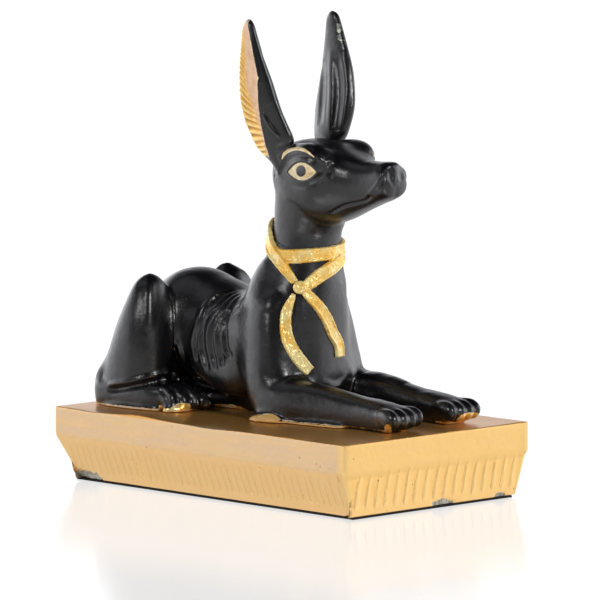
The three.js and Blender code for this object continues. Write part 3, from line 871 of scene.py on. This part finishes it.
# The ears: a sharp crest down the outer face, the gilt hollow behind it with its slanting feather lines,
# and soft upright folds on the black face in front.
EAR_CREST = [
    [-3.6, -22.6, 150], [-0.3, -23.4, 139.1], [1.9, -23.5, 130.8], [2.1, -23.4, 122.8], [2.4, -22.8, 115.2],
    [3, -20.4, 103.3],
]
# Each side's ear and the shift of its crest, under 1 for the right and -1 for the left.
EARS = {1: (EAR, (0, 0, 0)), -1: (LEFT_EAR, (0.4, -1.2, 0.8))}
EAR_FOOT = 99
GILT_FOOT = 99.8
GILT_FROM = 8
FEATHERS_TOP = 148
FEATHER_PITCH = 1.9
FEATHER_RISE = 0.42


def ear_place(points, ear, shift):
    """How far points lie ahead and outward of the ear's spine, with its width and crest at their height."""
    stations = np.array(ear)
    ahead_at, outward_at, width = (np.interp(points[:, 2], stations[:, 2], stations[:, i]) for i in (0, 1, 3))
    crest = np.array(EAR_CREST)[::-1] + shift
    crest_ahead = np.interp(points[:, 2], crest[:, 2], crest[:, 0]) - ahead_at
    return points[:, 0] - ahead_at, outward_at - points[:, 1], width, crest_ahead


gilt = np.full(clay.count, OUTSIDE)
feather = np.zeros(clay.count)
plumed = np.zeros(clay.count)


def model_ear(points, normals, flip):
    ear, shift = EARS[flip[1]]
    ahead, outward, width, crest = ear_place(points, ear, shift)
    level = points[:, 2] - shift[2]
    on_ear = (level > EAR_FOOT) & (points[:, 1] < -SIDE_FROM) & (outward > 0)
    rear = -width + 0.4
    middle, half = (crest + rear) / 2, (crest - rear) / 2
    dish = clip01(1 - ((ahead - middle) / half) ** 2) ** 0.8 * clip01((level - EAR_FOOT) / 6)
    depth = np.interp(level, [100, 112, 135, 150], [1.0, 2.6, 2.0, 0.3])
    slant = np.interp(level, [105, 118, 128, 140], [0.1, -0.4, -0.9, -1.4])
    feathers = np.cos(2 * np.pi * (level - slant * ahead) / FEATHER_PITCH)
    reach = np.interp(level, [104, 116, 128], [1.0, 0.75, 0.1])
    share = (ahead - rear) / np.maximum(crest - rear, 0.1)
    feathered = clip01(1.1 - np.abs(share - 0.02) / (0.35 + 0.6 * reach))
    feathered *= (level < FEATHERS_TOP) * (share > 0)
    inward = np.array([0.3, 0.954, 0]) * flip
    moved = (dish * depth)[:, None] * inward
    moved += (feathers * feathered * FEATHER_RISE)[:, None] * normals * flip
    clay.points[on_ear] += moved[on_ear]
    feather[on_ear] = (feathers * feathered)[on_ear]
    plumed[on_ear] = feathered[on_ear]
    border = np.minimum(crest - ahead, ahead - rear + 0.6)
    border = np.minimum(border, (level - GILT_FOOT) * 0.8)
    outer = (outward > -0.4) & (points[:, 1] < -GILT_FROM)
    gilt[:] = np.maximum(gilt, np.where(outer, border, OUTSIDE))


on_both_sides(model_ear)
clay.settle()
NEAR_STROKES = [
    ([[5, -19, 120], [7, -18.5, 113], [8.6, -16.5, 107]], 4, -0.8, 0.3),
    ([[3.3, -22.2, 116.8], [6.5, -20.4, 111], [9.3, -18.3, 107.4]], 1.1, 0.8, 0.2),
    ([[-3.5, -20, 142], [-2.5, -19.2, 133], [0.8, -16.5, 121], [4, -13.4, 108]], 2.6, 0.6, 0.3),
    ([[-8.5, -20.5, 138], [-5.2, -17.3, 122.8], [-1.5, -14.5, 108]], 2.8, -0.5, 0.4),
    ([[1, -20.8, 140], [2.5, -19, 129], [4.2, -17.2, 120], [6.5, -15, 108]], 2.2, -0.5, 0.4),
]
FAR_FOLDS = [[(330, 50), (331, 90), (329, 130)], [(342, 50), (347, 88), (342, 130)]]
FAR_GROOVES = [[(323, 60), (322, 90), (320, 126)], [(337, 58), (339, 90), (336, 130)]]
clay.stroke(EAR_CREST, 0.9, 0.35, sides=2)
for line, reach, rise, taper in NEAR_STROKES:
    clay.stroke(line, reach, rise, taper)
for fold in FAR_FOLDS:
    clay.draw(bare, fold, 2.2, 0.5, 0.3, sides=1)
for groove in FAR_GROOVES:
    clay.draw(bare, groove, 2.6, -0.7, 0.3, sides=1)
clay.settle()
clay.smooth(1)
clay.keep("feather", feather)
clay.keep("plumed", plumed)

# Paint placed as the picture shows it: two chips at the top of the left ear, a slip of the gold on the
# right one, the brows with the left one's edge, and the eyes.
EAR_CHIPS = [
    [(338, 25, 1.6), (338.8, 31, 2)], [(339, 39, 1.5), (341, 40, 1.2)], [(337, 36, 0.8), (339, 36, 0.8)],
]
GOLD_SLIP = [(257.2, 76, 0.4), (258, 78.4, 0.7)]
FAR_BROW = [(369.8, 143.5, 0.7), (372.6, 146.5, 0.9), (374.8, 151, 1), (374.4, 156, 0.7)]
BROW_ROWS = 12
CHIPS_FROM = 130
x, y, z = clay.points.T
clay.keep("chip", np.where(z > CHIPS_FROM, clay.bands(EAR_CHIPS), OUTSIDE))
clay.keep("gilt", np.where(y < -10, np.maximum(gilt, clay.band(GOLD_SLIP)), gilt))
brow_rows = along([(*place, 0) for place in BROW], np.linspace(0, 1, BROW_ROWS))
from_end = np.minimum(np.arange(BROW_ROWS), np.arange(BROW_ROWS)[::-1])
brow_rows[:, 2] = BROW_HALF * clip01(0.3 + from_end / 4)
eye_inside = np.full(clay.count, OUTSIDE)
pupil = np.full(clay.count, -OUTSIDE)
brow = np.where(y > 5, clay.band(FAR_BROW) * PIXEL_WIDE, OUTSIDE)
for side in (1, -1):
    across, down = clay.picture(side)
    face = (y * side < -SIDE_FROM) & (clay.normals[:, 1] * side < FACING_IN) & (x > 4) & (np.abs(z - 96) < 10)
    aside, below = (across - PUPIL_CENTRE[0]) / PUPIL_HALF[0], (down - PUPIL_CENTRE[1]) / PUPIL_HALF[1]
    eye_inside[face] = eye_border(across, down)[face]
    pupil[face] = np.hypot(aside, below)[face]
    brow[face] = np.maximum(brow, clay.band(brow_rows, side) * PIXEL_WIDE)[face]
clay.keep("eye", eye_inside)
clay.keep("pupil", pupil)
clay.keep("brow", brow)
clay.mesh.transform(clay.placed)

material, paint = new_material("black and gold head")
tone, roughness, normal = black_finish(paint)
ragged = (paint.cloud(900, detail=3) - 0.5) * 0.5
gold_edge = (paint.held("gilt") + ragged).rise(-0.06, 0.06)
brow_edge = (paint.held("brow") + ragged * 0.3).rise(-0.05, 0.05)
eye_edge = (paint.held("eye") + ragged * 0.4).rise(-0.05, 0.08)
pupil_edge = (paint.held("pupil") + ragged * 0.15).rise(1.0, 0.9) * eye_edge
pupil_middle = paint.held("pupil").rise(0.85, 0.7)
brushed = paint.cloud(420, detail=4)
upper_gold = paint.mix(brushed.rise(0.3, 0.7), (0.64, 0.38, 0.2), (0.74, 0.49, 0.32))
lower_gold = paint.mix(brushed.rise(0.3, 0.7), (0.8, 0.44, 0.08), (0.95, 0.62, 0.15))
ear_gold = paint.coats(
    upper_gold,
    (paint.held("plumed").rise(0.1, 0.7), lower_gold),
    # Painted shade in the feather grooves and painted highlights on their ridges.
    (paint.held("feather").rise(0.0, -0.8) * 0.8, (0.5, 0.22, 0.03)),
    (paint.held("feather").rise(0.3, 0.9) * 0.85, (1.0, 0.84, 0.4)),
    (paint.held("gilt").rise(0.6, 0.1) * 0.8, (1.0, 0.86, 0.6)),
)
cream = paint.mix(brushed.rise(0.35, 0.65), (0.8, 0.58, 0.26), (0.95, 0.82, 0.55))
chipped = (paint.held("chip") + ragged * 4).rise(-0.2, 0.3)
bare_resin = paint.mix(brushed.rise(0.42, 0.58), (0.2, 0.22, 0.2), (0.6, 0.66, 0.5))
iris = paint.mix(pupil_middle, (0.1, 0.05, 0.02), (0.03, 0.036, 0.05))
tone = paint.coats(tone, (chipped, bare_resin), (gold_edge, ear_gold), (brow_edge, cream), (eye_edge, cream))
paint.finish(paint.surface(
    Base_Color=paint.mix(pupil_edge, tone, iris),
    Metallic=gold_edge * 0.45,
    Roughness=roughness + gold_edge.larger(brow_edge) * (1 - pupil_edge) * 0.14,
    Specular_IOR_Level=BLACK_GLOSS,
    Normal=normal,
))
add_piece("jackal_head", clay.mesh, material, "black_paint", "jackal")

# The sash is modelled in the same casting and painted gold: a ribbon round the neck, two straps that come
# down from it to a round knot on the right of the breast, and two loose tails below the knot. Each ribbon
# is a list of [pixel across, pixel down, width, lift off the coat], and of [x, y, z, width, lift] where the
# neck hides it.
SASH_THICK = 1.1
SASH_GRAIN = 0.26
SASH_SLACK = 1.4
SASH_COLUMNS = 14
SASH_RIBBONS = [
    [
        [-9.5, 0, 72.5, 6, 0.7], [-8.8, -5, 72.3, 5.6, 0.9], [-6.6, -8.6, 70, 5.4, 0.9],
        [-4, -11, 66.8, 5.2, 0.9], [274, 252, 5, 0.9], [280, 261, 4.6, 0.9], [287.8, 272.3, 4, 0.9],
        [295, 282.6, 3, 0.6],
    ],
    [
        [-9.5, 0, 71, 6.5, 0.6], [-7.5, -8.5, 67.5, 6, 0.2], [277, 255, 5.8, 0.1], [288, 256.6, 5.6, 0.1],
        [300, 256.2, 5.6, 0.1], [320, 254.3, 5.3, 0.2], [338, 250.6, 5.3, 0.4], [14.6, 8.6, 63.9, 5.6, 0.5],
        [9, 12.6, 65, 5.8, 0.4], [0, 13, 67.2, 6.2, 0.5], [-7.5, 8, 70.3, 6.5, 0.6],
        [-9.5, 0, 71, 6.5, 0.6],
    ],
    [
        [15.2, 7.4, 61.4, 4.4, 0.5], [337.5, 261, 5.4, 0.7], [330, 268.3, 5.6, 0.6], [320, 275, 5.4, 0.5],
        [311, 282.4, 5, 0.4], [303, 287.6, 3.6, 0.3],
    ],
    [
        [294, 294, 1.6, 0], [291, 301, 3, 0.1], [286.8, 311, 4.2, 0.1], [285.4, 322, 4.4, 0.1],
        [287.2, 338, 5, 0.1], [292.9, 350.5, 5, 0.1], [303, 364.5, 5.3, 0.1], [309.5, 371.5, 4.6, 0.1],
    ],
    [
        [303, 290, 3.2, 0.3], [308.6, 295.6, 4, 0.2], [319.5, 307.5, 4.6, 0.1], [328.2, 322.7, 5, 0.1],
        [333, 334.6, 5.2, 0.1], [338, 343.4, 5.2, 0.1], [339.3, 357, 4.8, 0.1],
    ],
]
KNOT = (299.6, 288)
KNOT_SIZE = 2.6
KNOT_FLAT = 0.62
KNOT_LIFT = 1.7
KNOT_TOP = 3.2


def sash_path(ribbon):
    """A ribbon's rows as [x, y, z, width, lift]."""
    rows = []
    for row in ribbon:
        place = clay.seen([row[:2]], coat)[0] if len(row) == 4 else row[:3]
        rows.append([*place, *row[-2:]])
    return np.array(rows, float)


def lay_ribbon(bm, ribbon):
    """A closed ribbon laid on the coat, with a low bead along each edge."""
    length = np.linalg.norm(np.diff(ribbon[:, :3], axis=0), axis=1).sum()
    rows = int(length / 0.4)
    share = np.linspace(0, 1, rows + 1)
    found = [coat.find_nearest(Vector(place)) for place in along(ribbon[:, :3], share)]
    spine = np.array([hit[0] for hit in found])
    normal = np.array([hit[1] for hit in found])
    for _ in range(12):
        for line in (spine, normal):
            line[1:-1] = (line[:-2] + 2 * line[1:-1] + line[2:]) / 4
    normal /= np.linalg.norm(normal, axis=1, keepdims=True)
    side = np.cross(normal, np.gradient(spine, axis=0))
    side /= np.linalg.norm(side, axis=1, keepdims=True)
    width, lift = (np.interp(share, np.linspace(0, 1, len(ribbon)), ribbon[:, i]) for i in (3, 4))
    made = bmesh.ops.create_grid(bm, x_segments=rows, y_segments=SASH_COLUMNS, size=1)["verts"]
    downs = []
    for vert in made:
        row = round((vert.co.x + 1) / 2 * rows)
        across = vert.co.y
        place = Vector(spine[row] + side[row] * across * width[row] / 2)
        ground, facing = coat.find_nearest(place)[:2]
        up = (Vector(normal[row]) * 2 + facing).normalized()
        bead = 0.4 * max(0, 1 - ((abs(across) - 0.8) / 0.2) ** 2)
        fall = 0.55 * abs(across) ** 10
        if (ground - place).length > SASH_SLACK:
            ground = place + (ground - place).normalized() * SASH_SLACK
        vert.co = ground + up * (lift[row] + SASH_THICK * (0.8 + bead - fall))
        downs.append(up * SASH_THICK * -1.1)
    faces = list({face for vert in made for face in vert.link_faces})
    rim = [edge for edge in {edge for face in faces for edge in face.edges} if edge.is_boundary]
    under = bmesh.ops.duplicate(bm, geom=[*made, *faces, *rim])
    for vert, down in zip(made, downs):
        under["vert_map"][vert].co += down
    low_faces = [e for e in under["geom"] if isinstance(e, bmesh.types.BMFace)]
    low_rim = [under["edge_map"][edge] for edge in rim]
    bmesh.ops.reverse_faces(bm, faces=low_faces)
    walls = bmesh.ops.bridge_loops(bm, edges=rim + low_rim)["faces"]
    bmesh.ops.recalc_face_normals(bm, faces=faces + low_faces + walls)


clay.placed = to_part
ribbons = bmesh.new()
for ribbon in SASH_RIBBONS:
    lay_ribbon(ribbons, sash_path(ribbon))
ground, facing = coat.find_nearest(Vector(clay.seen([KNOT], coat)[0]))[:2]
knot_turn = facing.to_track_quat("Z", "Y").to_matrix().to_4x4()
knot_place = Matrix.Translation(ground + facing * KNOT_LIFT) @ knot_turn
knot_place = knot_place @ Matrix.Diagonal((1, 1, KNOT_FLAT, 1))
bmesh.ops.create_uvsphere(ribbons, u_segments=32, v_segments=24, radius=KNOT_SIZE, matrix=knot_place)
clay = Clay("sash", ribbons, SASH_GRAIN)
clay.smooth(3)
clay.stroke([ground + facing * KNOT_TOP], 1.5, -0.4)
clay.settle()
dents = [noise.noise(Vector(point) * 0.9) + 0.5 * noise.noise(Vector(point) * 2.1) for point in clay.points]
clay.points += clay.normals * (np.array(dents) * 0.15)[:, None]
clay.settle()
clay.mesh.transform(to_part)


def gold_finish(name, rosy, golden, roughness, metal, brush=(1, 1, 1), pitted=0.58, rugged=1, wear_and_light=None):
    """Gold paint brushed on by hand: two tones in streaks, with small pits and a faint grain of flakes."""
    material, paint = new_material(name)
    streaks = paint.cloud(160, detail=5, at=paint.place(stretch=brush))
    patchy = paint.cloud(45, detail=3)
    flakes = paint.cloud(2600, detail=1)
    uneven = paint.cloud(420, detail=3)
    pits = paint.specks(430, 0.16) * paint.cloud(120, detail=2).rise(pitted - 0.06, pitted)
    tone = paint.mix((streaks * 0.7 + patchy * 0.3).rise(0.38, 0.62), rosy, golden)
    if wear_and_light:
        tone, metal = wear_and_light(paint, tone, metal)
    paint.finish(paint.surface(
        Base_Color=paint.mix(pits * 0.6, tone, (0.25, 0.1, 0.02)),
        Metallic=metal,
        Roughness=roughness - 0.06 + streaks * 0.12,
        Normal=paint.relief(
            (uneven, 0.00012 * rugged), (streaks, 0.00006), (1 - pits, 0.00015), (flakes, 0.000012 * rugged),
        ),
    ))
    return material


SASH_DEEP = (1.0, 0.59, 0.11)
SASH_PALE = (1.0, 0.84, 0.38)
sash_gold = gold_finish("sash gold", SASH_DEEP, SASH_PALE, roughness=0.3, metal=0.2, rugged=2.2)
add_piece("sash", clay.mesh, sash_gold, "gold_paint")

# The plinth is a second casting, painted gold with a brush: an upright band over sides that taper in to the
# foot, with a row of thin flutes down each side. Its rim is a little wavy, and its foot is chipped.
plinth_low, plinth_high = (Vector(corner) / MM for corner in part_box("plinth"))
BAND = 10
COVE = 3.2
COVE_IN = 0.9
END_TAPER = 3.2
REAR_TAPER = 6
RIGHT_TAPER = 7.6
LEFT_TAPER = 3.5
RIM_ROUND = 0.4
CORNER_ROUND = 0.8
FLUTE_HALF = 0.45
FLUTE_DEEP = 0.5
FLUTE_BEAD = 0.3
SIDE_FLUTES = 43
END_FLUTES = 17
SIDE_PITCH = 3.5
END_PITCH = 5.2
FOOT_MARGIN = 2.4

# Rings climb from the middle of the foot to the middle of the top, each with its height, inset and scale.
PLINTH_TALL = plinth_high.z - plinth_low.z
band_foot = PLINTH_TALL - BAND
slope_top = band_foot - COVE
rim_foot = PLINTH_TALL - RIM_ROUND
half_long = plinth_high.x
half_wide = plinth_high.y
walls = [
    *np.linspace(0.4, slope_top, 23), *np.linspace(slope_top, band_foot, 7)[1:],
    *np.linspace(band_foot, rim_foot, 10)[1:],
]
TOP_SHARES = (0.985, 0.96, 0.925, 0.88, 0.82, 0.74, 0.64, 0.5, 0.34, 0.16)
rings = [(0, 0, share) for share in (0.3, 0.6, 0.85, 0.97)]
rings += [(0, 0.3, 1), (0.12, 0.08, 1)]
rings += [(z, 0, 1) for z in walls]
rings += [
    (PLINTH_TALL - RIM_ROUND * (1 - math.sin(a)), RIM_ROUND * (1 - math.cos(a)), 1) for a in (0.4, 0.8, 1.2)
]
rings += [(PLINTH_TALL, RIM_ROUND, share) for share in (1, *TOP_SHARES)]

# Columns run round the foot, side by side. Each has its side, its distance along it and how that is
# measured, and the flute that it belongs to: its foot, top, depth and lean.
CORNER, EARLY, FLUTED, LATE = range(4)
columns = []
random = np.random.default_rng(5)
for side, (flutes, pitch) in enumerate([(SIDE_FLUTES, SIDE_PITCH), (END_FLUTES, END_PITCH)] * 2):
    reach = flutes / 2 * pitch
    columns += [(side, CORNER, share, 0, 0, 1, 0, 0) for share in (0, 0.2, 0.4, 0.6, 0.8)]
    columns += [(side, EARLY, share, -reach, 0, 1, 0, 0) for share in (0, 0.5)]
    for flute in range(flutes):
        middle = (flute - (flutes - 1) / 2) * pitch + random.normal(0, 0.16)
        top = slope_top + COVE * 0.5 + random.normal(0, 0.6)
        foot = FOOT_MARGIN + abs(random.normal(0, 0.5))
        deep = FLUTE_DEEP * random.uniform(0.5, 1.3)
        lean = random.normal(0.9, 0.3)
        for offset in (-0.5 * pitch, -0.8, -0.45, -0.15, 0.15, 0.45, 0.7, 1.0):
            columns.append((side, FLUTED, offset, middle, foot, top, deep, lean))
    columns += [(side, LATE, share, reach, 0, 1, 0, 0) for share in (0, 0.5)]
side, kind, share, middle, foot, top, deep, lean = np.array(columns, float).T
side = side.astype(int)
ring_z, ring_inset, ring_scale = (column[:, None] for column in np.array(rings, float).T)


def reach_at(z):
    """How far the front end, the right side, the left side and the rear stand out at heights."""
    cove_share = clip01((band_foot - z) / COVE) ** 1.6
    slope_share = clip01((slope_top - z) / slope_top)
    tapers = (END_TAPER, RIGHT_TAPER, LEFT_TAPER, REAR_TAPER)
    inset = [COVE_IN * cove_share + (taper - COVE_IN) * slope_share for taper in tapers]
    return half_long - inset[0], half_wide - inset[1], half_wide - inset[2], half_long - inset[3]


def tent(distance, centre, reach):
    return clip01(1 - np.abs(distance - centre) / reach)


end, right, left, rear = (reach - ring_inset for reach in reach_at(ring_z))
runs = np.array([(1, 0), (0, 1), (-1, 0), (0, -1)])[side]
outwards = np.array([(0, -1), (1, 0), (0, 1), (-1, 0)])[side]
start_at = -np.choose(side, [rear, right, end, left])
finish_at = np.choose(side, [end, left, rear, right])
stand_off = np.choose(side, [right, end, left, rear])
corner = np.maximum(CORNER_ROUND - ring_inset, 0.3)
climb = clip01((ring_z - foot) / (top - foot))
back = clip01((band_foot - ring_z) / (band_foot - slope_top))
at = np.choose(kind.astype(int), [
    start_at + corner * (1 - np.cos(share * np.pi / 2)),
    (start_at + corner) * (1 - share) + middle * share,
    middle + share + lean * climb**3 * back,
    middle * (1 - share) + (finish_at - corner) * share,
])
ends = clip01((ring_z - foot) / 1.2) * clip01((top - ring_z) / 2.5)
cut = deep * tent(share, 0, FLUTE_HALF) ** 0.8
bead = FLUTE_BEAD * tent(share, 0.7, 0.4)
strength = ends * (1.3 - 0.7 * climb) * (kind == FLUTED)
groove = (cut - bead) * strength
turned_in = corner * (1 - np.sin(share * np.pi / 2)) * (kind == CORNER)

# What the paint reads: 1 in the dark line of a flute, which is painted shade, and below 0 on its bright edge
# and at the corners, which are painted highlights.
painted_highlight = tent(share, 0.6, 0.5) * (1 - 0.6 * climb)
flute_shade_and_highlight = (tent(share, 0, 0.3) - painted_highlight) * strength
flute_shade_and_highlight = np.where((kind == CORNER) & (ring_inset < RIM_ROUND) & (ring_z > 0.2), -0.5, flute_shade_and_highlight)


def wall_noise(pitch):
    """Noise over the walls and the top, -1 to 1, with lumps of about `pitch` millimetres."""
    places = np.stack([at, side * 300.0 + ring_scale * 40, ring_z + 0 * at], axis=-1).reshape(-1, 3) / pitch
    return np.array([noise.noise(Vector(place)) for place in places]).reshape(at.shape)


WALL_LUMPS = 14
WALL_GRAINS = 1.6
rough = wall_noise(WALL_LUMPS)
fine = wall_noise(WALL_GRAINS)
uneven = clip01(0.12 + 0.12 * rough + 0.04 * fine) * (ring_inset < RIM_ROUND)
off = stand_off - groove - turned_in - uneven
x = (runs[:, 0] * at + outwards[:, 0] * off) * ring_scale
y = runs[:, 1] * at + outwards[:, 1] * off
y = (left - right) / 2 + (y - (left - right) / 2) * ring_scale
z = ring_z + 0 * x

# The rim's waves, worn and uneven faces, and the chips at the foot. A chip is given by its middle, its
# reach and how much it takes away.
RIM_WAVES = [(-32, 12, 0.8), (-59, 8, -0.3), (6.5, 11, -0.5), (34, 12, 0.15)]
CHIPS = [
    ((-69, -42, 0), (9, 9, 3.4), 0.5),
    ((76.8, 5.5, 0.2), (9, 6, 2.2), 0.5),
    ((76.8, 37, 0.2), (9, 3.4, 1.6), 0.4),
]
rim_share = np.exp(-(((y + half_wide) / 5) ** 2)) * clip01((z - band_foot) / (BAND - 1))
for wave_x, wave_reach, wave_rise in RIM_WAVES:
    z = z + wave_rise * np.exp(-(((x - wave_x) / wave_reach) ** 2)) * rim_share
chipped = np.full(z.shape, -1.0)
for middle_at, reaches, bite in CHIPS:
    away = [(place - at_middle) / reach for place, at_middle, reach in zip((x, y, z), middle_at, reaches)]
    inside = 1 - np.sqrt(away[0] ** 2 + away[1] ** 2 + away[2] ** 2) + 0.3 * fine
    chipped = np.maximum(chipped, inside)
    taken = clip01(inside * 4) * bite * (1 + 0.4 * fine)
    x = x - outwards[:, 0] * taken
    y = y - outwards[:, 1] * taken

block = bmesh.new()
chip_layer = block.verts.layers.float.new("chip")
shade_highlight_layer = block.verts.layers.float.new("flute_shade_and_highlight")
made = bmesh.ops.create_grid(block, x_segments=len(columns), y_segments=len(rings) + 1, size=1)["verts"]
for vert in made:
    ring = round((vert.co.y + 1) / 2 * (len(rings) + 1)) - 1
    column = round((vert.co.x + 1) / 2 * len(columns)) % len(columns)
    if 0 <= ring < len(rings):
        vert.co = (x[ring, column], y[ring, column], z[ring, column])
        vert[chip_layer] = chipped[ring, column]
        vert[shade_highlight_layer] = flute_shade_and_highlight[ring, column]
    else:
        vert.co = (0, 0, 0 if ring < 0 else PLINTH_TALL)
        vert[chip_layer] = -1
bmesh.ops.remove_doubles(block, verts=block.verts, dist=1e-4)
bmesh.ops.recalc_face_normals(block, faces=block.faces)
plinth_mesh = mesh_from("plinth_casting", block)
plinth_mesh.transform(Matrix.Scale(MM, 4) @ Matrix.Translation((0, 0, plinth_low.z)))

# Its paint is yellower on the end and rosier on the slopes, painted light for how the lamps fall on those
# faces, and browner on the top. The flutes are dark with bright edges, painted shade and painted highlights,
# dust lies on the top, and the chips show the bare stone.
# Where the painted light on the end and on the slopes fades in, and where the browner top begins.
END_LIGHT_FROM, END_LIGHT_TO = 0.0745, 0.0785
TOP_FROM, TOP_TO = 0.0284, 0.0289
SLOPE_LIGHT_FROM, SLOPE_LIGHT_TO = 0.0195, 0.0165


# Dust and chips on the plinth, with painted light on its end and slopes and painted shade and highlights in
# its flutes.
def plinth_wear_and_light(paint, tone, metal):
    place = paint.node("ShaderNodeTexCoord", output=3)
    forward = paint.node("ShaderNodeSeparateXYZ", None, {0: place}, output=0)
    height = paint.node("ShaderNodeSeparateXYZ", None, {0: place}, output=2)
    top = height.rise(TOP_FROM, TOP_TO)
    # Painted highlight on the flutes' bright edges and on the corners, which also takes away some of the
    # metal.
    painted_highlight = paint.held("flute_shade_and_highlight").rise(-0.15, -0.7) * 0.8
    dust = paint.specks(260, 0.12) * paint.cloud(60, detail=2).rise(0.43, 0.52) * top
    bare = paint.held("chip").rise(0.02, 0.1)
    stone = paint.mix(paint.cloud(700, detail=3).rise(0.35, 0.65), (0.2, 0.18, 0.13), (0.5, 0.46, 0.38))
    tone = paint.coats(
        tone,
        # Painted light: a lighter tone on the slopes and a yellower one on the end.
        (height.rise(SLOPE_LIGHT_FROM, SLOPE_LIGHT_TO) * 0.8, (1.0, 0.63, 0.25)),
        (forward.rise(END_LIGHT_FROM, END_LIGHT_TO) * 0.85, (0.88, 0.55, 0.17)),
        (top, (0.68, 0.34, 0.08)),
        # Painted shade in the dark lines of the flutes.
        (paint.held("flute_shade_and_highlight").rise(0.1, 0.9) * 0.6, (0.5, 0.27, 0.08)),
        (painted_highlight, (1.0, 0.73, 0.31)),
        (dust * 0.8, (1.0, 0.9, 0.75)),
        (bare, stone),
    )
    return tone, (metal * (1 - painted_highlight) + top * 0.1) * (1 - bare)


PLINTH_ROSY = (0.71, 0.49, 0.29)
PLINTH_GOLDEN = (0.76, 0.51, 0.26)
BRUSHED_UP = (0.25, 0.25, 2)
plinth_gold = gold_finish(
    "plinth gold", PLINTH_ROSY, PLINTH_GOLDEN, roughness=0.32, metal=0.55, brush=BRUSHED_UP, pitted=0.66,
    wear_and_light=plinth_wear_and_light,
)
add_piece("plinth_casting", plinth_mesh, plinth_gold, "gold_paint", "plinth")

# A thin pad of dark felt is glued under the plinth.
material, paint = new_material("dark felt")
fibres = paint.cloud(1800, detail=3)
paint.finish(paint.surface(
    Base_Color=paint.mix(fibres.rise(0.35, 0.65), (0.006, 0.005, 0.005), (0.02, 0.016, 0.014)),
    Roughness=0.95,
    Normal=paint.relief((fibres, 0.0002)),
))
felt = bpy.data.objects["felt_pad"]
felt.material_slots[0].material = material
